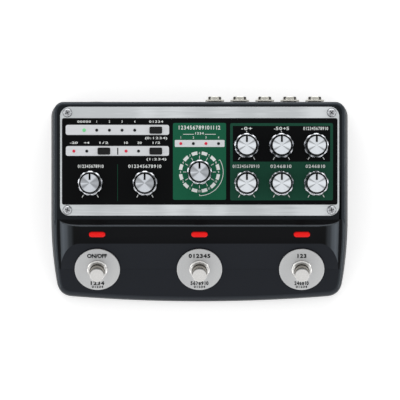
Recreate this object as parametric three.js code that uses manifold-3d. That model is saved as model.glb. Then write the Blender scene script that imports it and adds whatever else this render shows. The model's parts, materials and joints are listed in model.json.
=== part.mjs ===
// Desktop echo unit: nine knobs, three buttons and three footswitches in a cast metal case.
// Millimetres, +Z up. X runs along the long side, the footswitches face -Y and the sockets +Y.
// The origin lies on the floor under the middle of the case.

import * as THREE from 'three';
import { mergeVertices } from 'three/addons/utils/BufferGeometryUtils.js';
import Module from 'manifold-3d';

const wasm = await Module();
wasm.setup();

// Fits
const fit = 0.3; // gap between pieces that seat on or run in each other
const slip = 0.2; // gap round a small piece in its close hole
const overrun = 1; // how far a cut runs past the face that it opens
const weld = 0.4; // how deep joined forms reach into each other

// Case
const caseWidth = 192;
const caseDepth = 132; // from the front lip to the tips of the rear sockets
const socketStand = 2.8; // the sockets stand this far out of the foot of the rear wall
const footStand = 2; // the feet hold the case this high off the floor
const topLevel = 38.5;
const creaseLevelShare = 0.6522; // level where the lamp slope meets the switch deck, of the top's
const lipLevelShare = 0.2142; // level of the front lip, of the top's
const topFrontShare = -0.0962; // where the flat top ends, from the middle of the depth
const creaseShare = -0.2144;
const lampShare = -0.1693;
const switchShare = -0.3379;
const caseWall = 2.6;
const roofThickness = 2.8;
const frontBowRadius = 1020;
const sideBowRadius = 230; // the sides curve in ahead of the flat top
const frontCornerReach = 8;
const rearCornerRadius = 11;
const topEdgeRadius = 2;
const lipRadius = 3.2;
const innerEdgeShare = 0.3; // inside edges are this share of the outer radius
const sideDraft = THREE.MathUtils.degToRad(4.2);
const rearDraft = THREE.MathUtils.degToRad(1.6);
const frontDraft = THREE.MathUtils.degToRad(1.5);

// Scoop between the cheeks
const scoopDepthShare = 0.0857; // upright depth below the cheeks, of the top's level
const cheekWidth = 7.4;
const scoopEndReach = 11.6; // the scoop's floor curves up over this width at either end
const scoopWallSlope = THREE.MathUtils.degToRad(56.3);
const scoopFillet = 1.1; // reach of the fillet at the wall's foot
const scoopClimb = 4; // how far the cut runs on above the flat top
const scoopSkim = 0.02; // keeps the cut just off the switch deck

// Screw posts in the case
const postRadius = 3.6;
const postPilotRadius = 1.2;
const postPilotDepth = 5;
const rearPostInset = 9.5; // from the side of the case
const rearPostSetback = 14.2; // from the rear of the case
const frontPostInset = 12.5;
const frontPostSetback = 13;

// Bottom cover and feet
const coverSheet = 1.2;
const coverScrewHoleRadius = 1.7;
const footRadius = 7;
const footToeRadius = 6;
const footChamfer = 0.5;
const footPegRadius = 2;
const footPegStand = 0.8; // the peg shows this far inside the cover
const footInset = 18;
const rearFootSetback = 18.2;
const frontFootSetback = 23;

// Control panel
const panelSideMargin = 7.3; // from the panel to the side of the case
const panelFrontMargin = 2.2;
const panelRearMargin = 4.1;
const panelCornerRadius = 6;
const panelSheet = 1.2;
const windowSideMargin = 6.7; // from the case's opening to the panel's edge above it
const windowFrontMargin = 8.3;
const windowRearMargin = 8.5;
const windowCornerRadius = 4;

// Panel screws
const panelScrewInset = 4.7; // from the side of the panel
const panelScrewSetback = 3.85;
const screwHeadRadius = 2.75;
const screwHeadHeight = 1.5;
const screwRimShare = 0.4; // height of the head's straight rim
const screwCrownShare = 0.7; // radius of the head's flat crown
const screwShankRadius = 1.4;
const screwShankLength = 6;
const screwCrossLength = 3.2;
const screwCrossWidth = 0.7;
const screwCrossDepth = 0.8;

// Knobs; places across and along are shares of the opening's size, from its middle and front
const knobSkirtRadius = 8.25;
const knobTopRadius = 6.5;
const knobCapRadius = 5.9;
const knobHeight = 11.4;
const knobSkirtHeight = 1.6;
const knobShoulderHeight = 10.3;
const knobLift = 0.6; // clear of the panel
const knobLobes = 9;
const knobScallop = 0.7;
const knobTopScallop = 0.24;
const scallopShares = [0, 1, 1]; // depth at each step across one scallop
const knobCapDepth = 0.3;
const knobPointerWidth = 1.1;
const knobPointerLength = 3.6;
const knobPointerDepth = 0.5;
const knobHubRadius = 5.4;
const knobHubDepth = 3.4;
const knobTopThickness = 2.4;
const leftKnobShares = [-0.4238, -0.2116];
const rightKnobShares = [0.1829, 0.3177, 0.4524];
const frontKnobShare = 0.2386;
const rearKnobShare = 0.6932;
const selectorShare = 0.3731;

// Indicator dots and their light guides
const dotRadius = 0.95;
const memoryDotShares = [-0.4476, -0.3985, -0.3494, -0.3003, -0.2512];
const memoryRowShare = 0.8769;
const inputDotShares = [-0.4872, -0.4372, -0.2848, -0.2366];
const inputRowShare = 0.625;
const headDotShares = [-0.0726, -0.0238, 0.025, 0.0738];
const headRowShare = 0.7159;
const guideThickness = 2.6;
const guideArmWidth = 2.6;
const guideSpineWidth = 2;

// Panel buttons
const buttonWidth = 7.5;
const buttonDepth = 3.9;
const buttonCornerRadius = 0.5;
const buttonStand = 1.1; // height above the panel
const buttonEdge = 0.25;
const buttonFlange = 0.8; // how far the flange reaches out under the panel
const buttonFlangeThickness = 0.9;
const buttonTravel = 0.5;
const rightButtonShare = -0.1695;
const leftButtonShare = -0.3707;

// Boards
const panelBoardGap = 0.4; // between the panel board and the screw posts
const panelBoardFrontReach = 2.8; // how far the board runs on in front of the opening
const panelBoardRearReach = 2.4;
const boardThickness = 1.6;
const potWidth = 10;
const potDepth = 10.6;
const potHeight = 6.8;
const potBushingRadius = 3.5;
const potBushingStand = 2.2; // above the panel
const potShaftRadius = 3;
const potShaftLength = 7.4; // above the bushing
const selectorCaseWidth = 16;
const tactWidth = 6;
const tactHeight = 3.4;
const tactStemRadius = 1.7;
const chipWidth = 1.6;
const chipHeight = 0.9;
const mainBoardInset = 16; // from the side of the case
const mainBoardFrontShare = 0.0606; // of the case's depth
const mainBoardRearGap = 2.1; // from the inside of the rear wall
const standoffRadius = 3;
const standoffInset = 10; // from the side of the board
const frontStandoffSetback = 6;
const rearStandoffSetback = 18.5;
const processorWidth = 14;
const processorHeight = 1.4;
const processorShare = -0.1875; // places on the board are shares of its size
const memoryWidth = 10;
const memoryShare = -0.325;
const chipRowShare = 0.3168;
const capacitorRadius = 3;
const capacitorHeight = 7;
const capacitorShares = [-0.45, -0.3938, 0.05, 0.1];
const capacitorRowShare = 0.2772;

// Rear sockets
const socketCount = 5;
const firstSocketShare = 0.051; // places along the rear are shares of the case's width
const socketPitchShare = 0.0836;
const socketGap = 2.65; // between the bodies of two sockets
const socketZ = 20;
const socketBushingRadius = 4.5;
const socketBoreRadius = 3.2;
const socketBoreDepth = 22;
const socketBodyLength = 25;
const socketBodyHeight = 13;
const socketNutFlats = 12;
const socketNutThickness = 1.3;
const socketNutChamfer = 0.5;
const miniJackShares = [-0.0625, -0.1354];
const miniJackRise = 3.8; // centre above the main board
const miniJackRadius = 3;
const miniJackBoreRadius = 1.75;
const miniJackBodyWidth = 7;
const miniJackBodyHeight = 6.4;
const miniJackBodyLength = 12;
const portShare = -0.2292;
const portRise = 2.4;
const portWidth = 9;
const portHeight = 3.3;
const portShell = 0.4;
const portLength = 8;
const portTongueThickness = 0.7;
const portTongueWidth = 6.8;
const inletShare = -0.3438;
const inletRise = 5.4;
const inletRadius = 5;
const inletBoreRadius = 3.1;
const inletPinRadius = 1.05;
const inletBodyWidth = 10.6;
const inletBodyHeight = 10.8;
const inletBodyLength = 13;
const inletBoreDepth = 10;

// Footswitches
const switchColumnShare = 0.3422; // of the case's width
const plateRadius = 14.85;
const plateSheet = 0.9;
const collarRadius = 6;
const collarBoreRadius = 5.05;
const nutRadius = 7;
const nutHeight = 2.9;
const nutChamfer = 0.5;
const nutNotchWidth = 1.6;
const nutNotchDepth = 1;
const collarStand = 0.3; // the collar ends this far below the nut's face
const plungerRadius = 4.7;
const plungerStand = 9.4; // top of the plunger above the deck
const plungerEdge = 0.5;
const plungerTravel = 2.3;
const plungerFlangeRadius = 5.5;
const plungerFlangeThickness = 1;
const plungerBoreRadius = 3.2;
const plungerTopThickness = 3;
const switchBodyWidth = 14;
const switchBodyDepth = 7.6;
const switchBodyFloor = 1.4;
const switchLugWidth = 2.4;
const switchLugThickness = 0.5;
const switchLugLength = 2;
const switchLugSpacing = 4.4;
const springRadius = 2.3; // to the middle of the wire
const springWireRadius = 0.35;
const springTurns = 4;

// Footswitch lamps
const lampColumnShare = 0.3411;
const lensWidth = 10.4;
const lensDepth = 3.8;
const lensStand = 0.45;
const lensDome = 0.4;
const lensFlange = 1;
const lensFlangeThickness = 1;

// Facet counts
const bowPasses = 6; // passes that settle the place of the front corner
const cornerSteps = 4;
const frontSteps = 5;
const sideSteps = 4;
const roundSteps = 3;
const innerRoundSteps = 1;
const scoopSteps = 6;
const filletSteps = 3;
const panelCornerSteps = 5;
const edgeSteps = 2;
const capsuleSteps = 3;
const springStepsPerTurn = 5;
const springWireSides = 4;
const potSides = 6;
const smallSides = 8;
const holeSides = 12;
const midSides = 14;
const wideSides = 28;

// Levels and places that follow from the sizes above
const frontY = -caseDepth / 2;
const socketTipY = caseDepth / 2;
const rearY = socketTipY - socketStand;
const topFrontY = topFrontShare * caseDepth;
const creaseY = creaseShare * caseDepth;
const lampY = lampShare * caseDepth;
const switchY = switchShare * caseDepth;
const scoopDepth = scoopDepthShare * topLevel;
const creaseLevel = creaseLevelShare * topLevel;
const lipLevel = lipLevelShare * topLevel;
const lampSlope = Math.atan((topLevel - scoopDepth - creaseLevel) / (topFrontY - creaseY));
const switchSlope = Math.atan((creaseLevel - lipLevel) / (creaseY - frontY));
const lampTan = Math.tan(lampSlope);
const switchTan = Math.tan(switchSlope);
const cheekLevel = (y) => topLevel - lampTan * (topFrontY - y);
const lampLevel = (y) => cheekLevel(y) - scoopDepth;
const switchLevel = (y) => lampLevel(creaseY) + switchTan * (y - creaseY);
const outerLevel = (y) => Math.min(topLevel, Math.max(cheekLevel(y), switchLevel(y)));
const cheekEndY = creaseY - scoopDepth / (lampTan - switchTan);
const lampRoof = roofThickness / Math.cos(lampSlope);
const switchRoof = roofThickness / Math.cos(switchSlope);
const ceiling = topLevel - roofThickness;
const innerSlopeLevel = (y) => Math.max(lampLevel(y) - lampRoof, switchLevel(y) - switchRoof);
const innerLevel = (y) => Math.min(ceiling, innerSlopeLevel(y));
const innerCreaseY = creaseY + (lampRoof - switchRoof) / (lampTan - switchTan);
const ceilingFrontY = topFrontY + (scoopDepth + lampRoof - roofThickness) / lampTan;
const scoopWidth = caseWidth - 2 * cheekWidth;
const scoopFlatWidth = scoopWidth - 2 * scoopEndReach;
const coverTop = footStand + coverSheet;
const panelBottom = topLevel + fit;
const panelTop = panelBottom + panelSheet;
const panelBoardTop = panelBottom - fit - potHeight;
const knobBottom = panelTop + knobLift;
const bushingTop = panelTop + potBushingStand;
const shaftTop = bushingTop + potShaftLength;
const mainBoardTop = socketZ - socketBodyHeight / 2 - fit;
const rearWallY = (z) => rearY - Math.tan(rearDraft) * (z - footStand);

const panelWidth = caseWidth - 2 * panelSideMargin;
const panelFrontY = topFrontY + panelFrontMargin;
const panelRearY = rearY - panelRearMargin;
const windowWidth = panelWidth - 2 * windowSideMargin;
const windowFrontY = panelFrontY + windowFrontMargin;
const windowRearY = panelRearY - windowRearMargin;
const rearPostX = caseWidth / 2 - rearPostInset;
const panelBoardWidth = 2 * (rearPostX - postRadius - panelBoardGap);
const panelBoardFrontY = windowFrontY - panelBoardFrontReach;
const panelBoardRearY = windowRearY + panelBoardRearReach;
const mainBoardWidth = caseWidth - 2 * mainBoardInset;
const mainBoardFrontY = mainBoardFrontShare * caseDepth;
const mainBoardRearY = rearY - caseWall - mainBoardRearGap;
const socketPitch = socketPitchShare * caseWidth;
const socketBodyWidth = socketPitch - socketGap;
const miniJackZ = mainBoardTop + miniJackRise;
const portZ = mainBoardTop + portRise;
const inletZ = mainBoardTop + inletRise;
const portX = portShare * caseWidth;
const inletX = inletShare * caseWidth;

// Geometry helpers: each returns a closed body with its foot at z = 0 unless it says otherwise

function moved(geometry, x, y, z) {
  return geometry.translate(x, y, z);
}

function block(width, depth, height) {
  return new THREE.BoxGeometry(width, depth, height).translate(0, 0, height / 2);
}

function rod(radius, height, sides) {
  const upright = new THREE.CylinderGeometry(radius, radius, height, sides).rotateX(Math.PI / 2);
  return upright.translate(0, 0, height / 2);
}

// A cylinder that points along +Y and starts at y = 0
function rearRod(radius, length, sides) {
  return rod(radius, length, sides).rotateX(-Math.PI / 2);
}

function turned(profile, sides) {
  const points = profile.map(([radius, z]) => new THREE.Vector2(radius, z));
  return new THREE.LatheGeometry(points, sides).rotateX(Math.PI / 2);
}

function roundedOutline(width, depth, radius, steps = edgeSteps) {
  const shape = new THREE.Shape();
  const corners = [[1, 1], [-1, 1], [-1, -1], [1, -1]];
  corners.forEach(([alongX, alongY], index) => {
    const centreX = alongX * (width / 2 - radius);
    const centreY = alongY * (depth / 2 - radius);
    for (let step = 0; step <= steps; step += 1) {
      const angle = (index + step / steps) * Math.PI / 2;
      const x = centreX + radius * Math.cos(angle);
      const y = centreY + radius * Math.sin(angle);
      if (index === 0 && step === 0) shape.moveTo(x, y);
      else shape.lineTo(x, y);
    }
  });
  return shape;
}

function slab(shape, thickness) {
  return new THREE.ExtrudeGeometry(shape, { depth: thickness, bevelEnabled: false });
}

// Turns every face outward, whichever way the profile ran
function facingOut(positions, indices) {
  let volume = 0;
  const corner = (index) => new THREE.Vector3().fromArray(positions, index * 3);
  for (let i = 0; i < indices.length; i += 3) {
    const [a, b, c] = [corner(indices[i]), corner(indices[i + 1]), corner(indices[i + 2])];
    volume += a.dot(b.cross(c));
  }
  if (volume >= 0) return indices;
  const turnedOver = Array.from(indices);
  for (let i = 0; i < turnedOver.length; i += 3) {
    [turnedOver[i + 1], turnedOver[i + 2]] = [turnedOver[i + 2], turnedOver[i + 1]];
  }
  return turnedOver;
}

function indexedGeometry(points, faces) {
  const positions = points.flatMap((point) => point.toArray());
  const geometry = new THREE.BufferGeometry();
  geometry.setAttribute('position', new THREE.Float32BufferAttribute(positions, 3));
  geometry.setIndex(Array.from(facingOut(positions, faces.flat())));
  return geometry;
}

function welded(geometry) {
  const bare = geometry.clone();
  bare.deleteAttribute('normal');
  bare.deleteAttribute('uv');
  const merged = mergeVertices(bare);
  const positions = merged.attributes.position.array;
  const indices = merged.index.array;
  const kept = [];
  for (let i = 0; i < indices.length; i += 3) {
    const [a, b, c] = [indices[i], indices[i + 1], indices[i + 2]];
    if (a !== b && b !== c && c !== a) kept.push(a, b, c);
  }
  merged.setIndex(Array.from(facingOut(positions, kept)));
  return merged;
}

function asSolid(geometry) {
  const closed = geometry.attributes.normal ? welded(geometry) : geometry;
  return new wasm.Manifold(new wasm.Mesh({
    numProp: 3,
    vertProperties: new Float32Array(closed.attributes.position.array),
    triVerts: new Uint32Array(closed.index.array),
  }));
}

function asGeometry(solid) {
  const mesh = solid.getMesh();
  const geometry = new THREE.BufferGeometry();
  geometry.setAttribute('position', new THREE.BufferAttribute(mesh.vertProperties, 3));
  geometry.setIndex(new THREE.BufferAttribute(mesh.triVerts, 1));
  return geometry;
}

function shaped(base, additions, cuts) {
  let solid = asSolid(base);
  additions.forEach((piece) => {
    solid = solid.add(asSolid(piece));
  });
  cuts.forEach((piece) => {
    solid = solid.subtract(asSolid(piece));
  });
  return asGeometry(solid);
}

// Rings of points, one above the other, closed at both ends
function lofted(rings, footFaces, topFaces) {
  const size = rings[0].length;
  const faces = [];
  for (let level = 0; level + 1 < rings.length; level += 1) {
    for (let i = 0; i < size; i += 1) {
      const next = (i + 1) % size;
      const [low, high] = [level * size, (level + 1) * size];
      faces.push([low + i, low + next, high + next], [low + i, high + next, high + i]);
    }
  }
  const top = (rings.length - 1) * size;
  footFaces.forEach(([a, b, c]) => faces.push([c, b, a]));
  topFaces.forEach(([a, b, c]) => faces.push([top + a, top + b, top + c]));
  return indexedGeometry(rings.flat(), faces);
}

// Rings round the z axis, closed at both ends by spokes from a point on the axis
function spokedLoft(rings) {
  const size = rings[0].length;
  const foot = new THREE.Vector3(0, 0, rings[0][0].z);
  const top = new THREE.Vector3(0, 0, rings[rings.length - 1][0].z);
  const faces = [];
  const points = [foot, ...rings.flat(), top];
  const topIndex = points.length - 1;
  const lastRing = topIndex - size;
  for (let i = 0; i < size; i += 1) {
    const next = (i + 1) % size;
    faces.push([0, 1 + next, 1 + i], [topIndex, lastRing + i, lastRing + next]);
    for (let level = 0; level + 1 < rings.length; level += 1) {
      const low = 1 + level * size;
      const high = low + size;
      faces.push([low + i, low + next, high + next], [low + i, high + next, high + i]);
    }
  }
  return indexedGeometry(points, faces);
}

// Case outline at the foot, counterclockwise from the middle of the front, with the direction inward

function sideX(y) {
  return caseWidth / 2 - Math.max(0, topFrontY - y) ** 2 / (2 * sideBowRadius);
}

function frontCorner() {
  let y = frontY;
  for (let pass = 0; pass < bowPasses; pass += 1) {
    y = frontY + sideX(y) ** 2 / (2 * frontBowRadius);
  }
  return { x: sideX(y), y };
}

// The folds of the roof, and between them even steps along the curved side
function sideYs(startY, breaks) {
  const steps = Array.from({ length: sideSteps - 1 }, (unused, index) => (
    THREE.MathUtils.lerp(startY, topFrontY, (index + 1) / sideSteps)
  ));
  const clear = steps.filter((y) => breaks.every((fold) => Math.abs(fold - y) > roofThickness));
  return [...breaks, ...clear].sort((a, b) => a - b);
}

function caseOutline(breaks) {
  const right = [];
  const corner = frontCorner();
  const bowEndX = corner.x - frontCornerReach;
  const bowY = (x) => frontY + x ** 2 / (2 * frontBowRadius);
  for (let step = 0; step <= frontSteps; step += 1) {
    const x = bowEndX * step / frontSteps;
    const inward = new THREE.Vector2(-x / frontBowRadius, 1).normalize();
    right.push({ x, y: bowY(x), inward, draft: frontDraft, round: lipRadius });
  }
  const bow = new THREE.Vector2(bowEndX, bowY(bowEndX));
  const sideStart = new THREE.Vector2(sideX(corner.y + frontCornerReach), corner.y + frontCornerReach);
  const curve = new THREE.QuadraticBezierCurve(bow, new THREE.Vector2(corner.x, corner.y), sideStart);
  const bowInward = right[right.length - 1].inward;
  for (let step = 1; step <= cornerSteps; step += 1) {
    const share = step / cornerSteps;
    const point = curve.getPoint(share);
    const inward = bowInward.clone().lerp(new THREE.Vector2(-1, 0), share).normalize();
    const draft = THREE.MathUtils.lerp(frontDraft, sideDraft, share);
    const round = THREE.MathUtils.lerp(lipRadius, topEdgeRadius, share);
    right.push({ x: point.x, y: point.y, inward, draft, round });
  }
  const sideInward = new THREE.Vector2(-1, 0);
  sideYs(sideStart.y, breaks).forEach((y) => {
    right.push({ x: sideX(y), y, inward: sideInward, draft: sideDraft, round: topEdgeRadius });
  });
  for (let step = 0; step <= cornerSteps; step += 1) {
    const angle = step / cornerSteps * Math.PI / 2;
    const outward = new THREE.Vector2(Math.cos(angle), Math.sin(angle));
    right.push({
      x: caseWidth / 2 - rearCornerRadius + rearCornerRadius * outward.x,
      y: rearY - rearCornerRadius + rearCornerRadius * outward.y,
      inward: outward.clone().negate(),
      draft: THREE.MathUtils.lerp(sideDraft, rearDraft, outward.y ** 2),
      round: topEdgeRadius,
    });
  }
  const left = right.slice(1).reverse().map((point) => ({
    ...point,
    x: -point.x,
    inward: new THREE.Vector2(-point.inward.x, point.inward.y),
  }));
  return [...right, ...left];
}

// Triangles of a convex face, given by its corners' indices
function fan(corners) {
  return corners.slice(2).map((corner, i) => [corners[0], corners[i + 1], corner]);
}

const indicesOf = (points) => points.map((point, index) => index);

// A body on the case's outline, from a flat foot up to a folded roof with rounded edges
function caseBody(breaks, levelAt, footZ, inset, roundShare, steps) {
  const outline = caseOutline([...new Set([...breaks, topFrontY])].sort((a, b) => a - b));
  const insetPoint = (point, distance) => ({
    x: point.x + point.inward.x * distance,
    y: point.y + point.inward.y * distance,
  });
  const foot = outline.map((point) => {
    const { x, y } = insetPoint(point, inset + Math.tan(point.draft) * (footZ - footStand));
    return new THREE.Vector3(x, y, footZ);
  });
  const rings = [foot];
  for (let step = 0; step <= steps; step += 1) {
    const angle = step / steps * Math.PI / 2;
    rings.push(outline.map((point) => {
      const round = point.round * roundShare;
      const lean = Math.tan(point.draft) * (levelAt(point.y) - round - footStand);
      const { x, y } = insetPoint(point, inset + lean + round * (1 - Math.cos(angle)));
      return new THREE.Vector3(x, y, levelAt(y) - round * (1 - Math.sin(angle)));
    }));
  }
  const last = rings[rings.length - 1];
  const edges = [-Infinity, ...breaks, Infinity];
  const topFaces = [];
  for (let band = 0; band + 1 < edges.length; band += 1) {
    const corners = indicesOf(last).filter((index) => (
      last[index].y > edges[band] - scoopSkim && last[index].y < edges[band + 1] + scoopSkim
    ));
    topFaces.push(...fan(corners));
  }
  return lofted(rings, fan(indicesOf(foot)), topFaces);
}

// The scoop's cross-section is flat between two elliptical ends, and runs down the lamp slope
function scoopCut() {
  const stations = [];
  for (let step = 0; step <= scoopSteps; step += 1) {
    const angle = step / scoopSteps * Math.PI / 2;
    const reach = (scoopWidth - scoopFlatWidth) / 2 * Math.sin(angle);
    stations.push({ x: scoopFlatWidth / 2 + reach, rise: scoopDepth * (1 - Math.cos(angle)) });
  }
  stations.push({ x: scoopWidth / 2 + scoopSkim, rise: scoopDepth + fit });
  const mirrored = stations.slice().reverse().map(({ x, rise }) => ({ x: -x, rise }));
  const wallTan = Math.tan(scoopWallSlope);
  const endY = creaseY - (scoopDepth + 2 * fit) / (lampTan - switchTan);
  const top = topLevel + scoopClimb;
  const rings = [...mirrored, ...stations].map(({ x, rise }) => {
    const depth = scoopDepth - rise;
    const drop = depth / (1 - lampTan / wallTan);
    const cornerY = topFrontY - drop / wallTan;
    const reach = scoopFillet * Math.max(depth / scoopDepth, 0);
    const corner = new THREE.Vector2(cornerY, lampLevel(cornerY) + rise);
    const along = (slope, distance) => (
      corner.clone().add(new THREE.Vector2(Math.cos(slope), Math.sin(slope)).multiplyScalar(distance))
    );
    const fillet = new THREE.QuadraticBezierCurve(
      along(lampSlope, -reach),
      corner,
      along(scoopWallSlope, reach),
    ).getPoints(filletSteps);
    const floorStartY = creaseY - rise / (lampTan - switchTan);
    const profile = [
      new THREE.Vector2(endY, switchLevel(endY) + scoopSkim),
      new THREE.Vector2(floorStartY, switchLevel(floorStartY) + scoopSkim),
      ...fillet,
      new THREE.Vector2(topFrontY + scoopClimb / wallTan, top),
      new THREE.Vector2(endY, top),
    ];
    return profile.map((point) => new THREE.Vector3(x, point.x, point.y));
  });
  const cap = fan(indicesOf(rings[0]));
  return lofted(rings, cap, cap);
}

// Frames of the tilted deck and lamp slope: local z is square to the face
function slopeMatrix(x, y, z, slope) {
  return new THREE.Matrix4().makeRotationX(slope).setPosition(x, y, z);
}

const deckMatrix = (x) => slopeMatrix(x, switchY, switchLevel(switchY), switchSlope);
const lampMatrix = (x) => slopeMatrix(x, lampY, lampLevel(lampY), lampSlope);

// Places: left and right pairs, rear pair first
const pair = (x, y) => [[-x, y], [x, y]];
const panelScrewX = panelWidth / 2 - panelScrewInset;
const panelScrewPlaces = [
  ...pair(panelScrewX, panelRearY - panelScrewSetback),
  ...pair(panelScrewX, panelFrontY + panelScrewSetback),
];
const postPlaces = [
  ...pair(rearPostX, rearY - rearPostSetback),
  ...pair(caseWidth / 2 - frontPostInset, frontY + frontPostSetback),
];
const footX = caseWidth / 2 - footInset;
const footPlaces = [...pair(footX, rearY - rearFootSetback), ...pair(footX, frontY + frontFootSetback)];
const standoffX = mainBoardWidth / 2 - standoffInset;
const standoffPlaces = [
  ...pair(standoffX, mainBoardRearY - rearStandoffSetback),
  ...pair(standoffX, mainBoardFrontY + frontStandoffSetback),
];

// Places in the opening of the case, and on the main board
const inWindow = (acrossShares, alongShare) => acrossShares.map((share) => [
  share * windowWidth,
  windowFrontY + alongShare * (windowRearY - windowFrontY),
]);
const onMainBoard = (acrossShare, alongShare) => [
  acrossShare * mainBoardWidth,
  mainBoardFrontY + alongShare * (mainBoardRearY - mainBoardFrontY),
];
const [selectorPlace] = inWindow([0], selectorShare);
const knobPlaces = [
  ...inWindow(leftKnobShares, frontKnobShare),
  selectorPlace,
  ...inWindow(rightKnobShares, rearKnobShare),
  ...inWindow(rightKnobShares, frontKnobShare),
];
const lightRows = [
  { name: 'memory_light_bar', dots: inWindow(memoryDotShares, memoryRowShare) },
  { name: 'input_light_bar', dots: inWindow(inputDotShares, inputRowShare) },
  { name: 'head_light_bar', dots: inWindow(headDotShares, headRowShare) },
];
const dotPlaces = lightRows.flatMap(({ dots }) => dots);
const buttonPlaces = [
  ...inWindow([rightButtonShare], memoryRowShare),
  ...inWindow([leftButtonShare, rightButtonShare], inputRowShare),
];

// Columns across the case
const socketXs = Array.from({ length: socketCount }, (unused, index) => (
  firstSocketShare * caseWidth + index * socketPitch
));
const miniJackXs = miniJackShares.map((share) => share * caseWidth);
const threeColumns = (share) => [-1, 0, 1].map((side) => side * share * caseWidth);
const switchXs = threeColumns(switchColumnShare);
const lampXs = threeColumns(lampColumnShare);

// Outline of a capsule lens, grown or shrunk all round
const lensOutline = (grow) => (
  roundedOutline(lensWidth + 2 * grow, lensDepth + 2 * grow, lensDepth / 2 + grow, capsuleSteps)
);

// A round cut through the rear wall, centred on a socket
function rearHole(radius, x, z, sides) {
  const start = rearWallY(z) - caseWall - overrun;
  return moved(rearRod(radius, caseWall + 2 * overrun, sides), x, start, z);
}

function chassis() {
  const outer = caseBody([cheekEndY, topFrontY], outerLevel, footStand, 0, 1, roundSteps);
  let solid = asSolid(outer).subtract(asSolid(scoopCut()));
  const innerFolds = [innerCreaseY, ceilingFrontY];
  const innerFoot = footStand - overrun;
  const inner = caseBody(innerFolds, innerLevel, innerFoot, caseWall, innerEdgeShare, innerRoundSteps);
  solid = solid.subtract(asSolid(inner));
  postPlaces.forEach(([x, y]) => {
    const foot = coverTop + fit;
    const post = moved(rod(postRadius, innerLevel(y) - foot + weld, smallSides), x, y, foot);
    const pilot = moved(rod(postPilotRadius, postPilotDepth, smallSides), x, y, foot - overrun);
    solid = solid.add(asSolid(post)).subtract(asSolid(pilot));
  });
  const through = roofThickness + 2 * overrun;
  const windowOutline = roundedOutline(windowWidth, windowRearY - windowFrontY, windowCornerRadius);
  const windowY = (windowRearY + windowFrontY) / 2;
  const cuts = [moved(slab(windowOutline, through), 0, windowY, ceiling - overrun)];
  panelScrewPlaces.forEach(([x, y]) => {
    cuts.push(moved(rod(screwShankRadius + slip, through, smallSides), x, y, ceiling - overrun));
  });
  switchXs.forEach((x) => {
    const hole = moved(rod(collarRadius + fit, through, midSides), 0, 0, -roofThickness - overrun);
    cuts.push(hole.applyMatrix4(deckMatrix(x)));
  });
  lampXs.forEach((x) => {
    const slot = moved(slab(lensOutline(slip), through), 0, 0, -roofThickness - overrun);
    cuts.push(slot.applyMatrix4(lampMatrix(x)));
  });
  socketXs.forEach((x) => cuts.push(rearHole(socketBushingRadius + fit, x, socketZ, holeSides)));
  miniJackXs.forEach((x) => cuts.push(rearHole(miniJackRadius + fit, x, miniJackZ, smallSides)));
  cuts.push(rearHole(inletRadius + fit, inletX, inletZ, holeSides));
  const portCut = block(portWidth + 2 * fit, caseWall + 2 * overrun, portHeight + 2 * fit);
  const portCutY = rearWallY(portZ) - caseWall / 2;
  cuts.push(moved(portCut, portX, portCutY, portZ - portHeight / 2 - fit));
  cuts.forEach((cut) => {
    solid = solid.subtract(asSolid(cut));
  });
  return asGeometry(solid);
}

function bottomCover() {
  const inset = caseWall + fit + Math.tan(sideDraft) * coverSheet;
  const outline = caseOutline([topFrontY]).map((point) => new THREE.Vector2(
    point.x + point.inward.x * inset,
    point.y + point.inward.y * inset,
  ));
  const sheet = moved(slab(new THREE.Shape(outline), coverSheet), 0, 0, footStand);
  const standoffs = standoffPlaces.map(([x, y]) => {
    const top = mainBoardTop - boardThickness - fit;
    return moved(rod(standoffRadius, top - coverTop + weld, smallSides), x, y, coverTop - weld);
  });
  const holes = [
    ...postPlaces.map(([x, y]) => [x, y, coverScrewHoleRadius]),
    ...footPlaces.map(([x, y]) => [x, y, footPegRadius + fit]),
  ].map(([x, y, radius]) => (
    moved(rod(radius, coverSheet + 2 * overrun, smallSides), x, y, footStand - overrun)
  ));
  return shaped(sheet, standoffs, holes);
}

function rubberFoot() {
  const shoulder = footStand - fit;
  const pegTop = coverTop + footPegStand;
  return turned([
    [0, 0],
    [footToeRadius, 0],
    [footRadius, footChamfer],
    [footRadius, shoulder],
    [footPegRadius, shoulder],
    [footPegRadius, pegTop],
    [0, pegTop],
  ], holeSides);
}

// Outline of a button's cap, grown or shrunk all round
const buttonOutline = (grow) => (
  roundedOutline(buttonWidth + 2 * grow, buttonDepth + 2 * grow, buttonCornerRadius + Math.max(grow, 0))
);

function topPanel() {
  const depth = panelRearY - panelFrontY;
  const centreY = (panelRearY + panelFrontY) / 2;
  const edge = roundedOutline(panelWidth, depth, panelCornerRadius, panelCornerSteps);
  const sheet = moved(slab(edge, panelSheet), 0, centreY, panelBottom);
  const through = panelSheet + 2 * overrun;
  const foot = panelBottom - overrun;
  const drill = (radius) => ([x, y]) => moved(rod(radius, through, smallSides), x, y, foot);
  const buttonHole = ([x, y]) => moved(slab(buttonOutline(slip), through), x, y, foot);
  return shaped(sheet, [], [
    ...knobPlaces.map(drill(potBushingRadius + fit)),
    ...dotPlaces.map(drill(dotRadius + slip)),
    ...panelScrewPlaces.map(drill(screwShankRadius + slip)),
    ...buttonPlaces.map(buttonHole),
  ]);
}

function panelScrew() {
  const head = turned([
    [0, 0],
    [screwHeadRadius, 0],
    [screwHeadRadius, screwHeadHeight * screwRimShare],
    [screwHeadRadius * screwCrownShare, screwHeadHeight],
    [0, screwHeadHeight],
  ], holeSides);
  const shank = moved(rod(screwShankRadius, screwShankLength + weld, smallSides), 0, 0, -screwShankLength);
  const slot = block(screwCrossLength, screwCrossWidth, screwCrossDepth + overrun);
  moved(slot, 0, 0, screwHeadHeight - screwCrossDepth);
  return shaped(head, [shank], [slot, slot.clone().rotateZ(Math.PI / 2)]);
}

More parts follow.
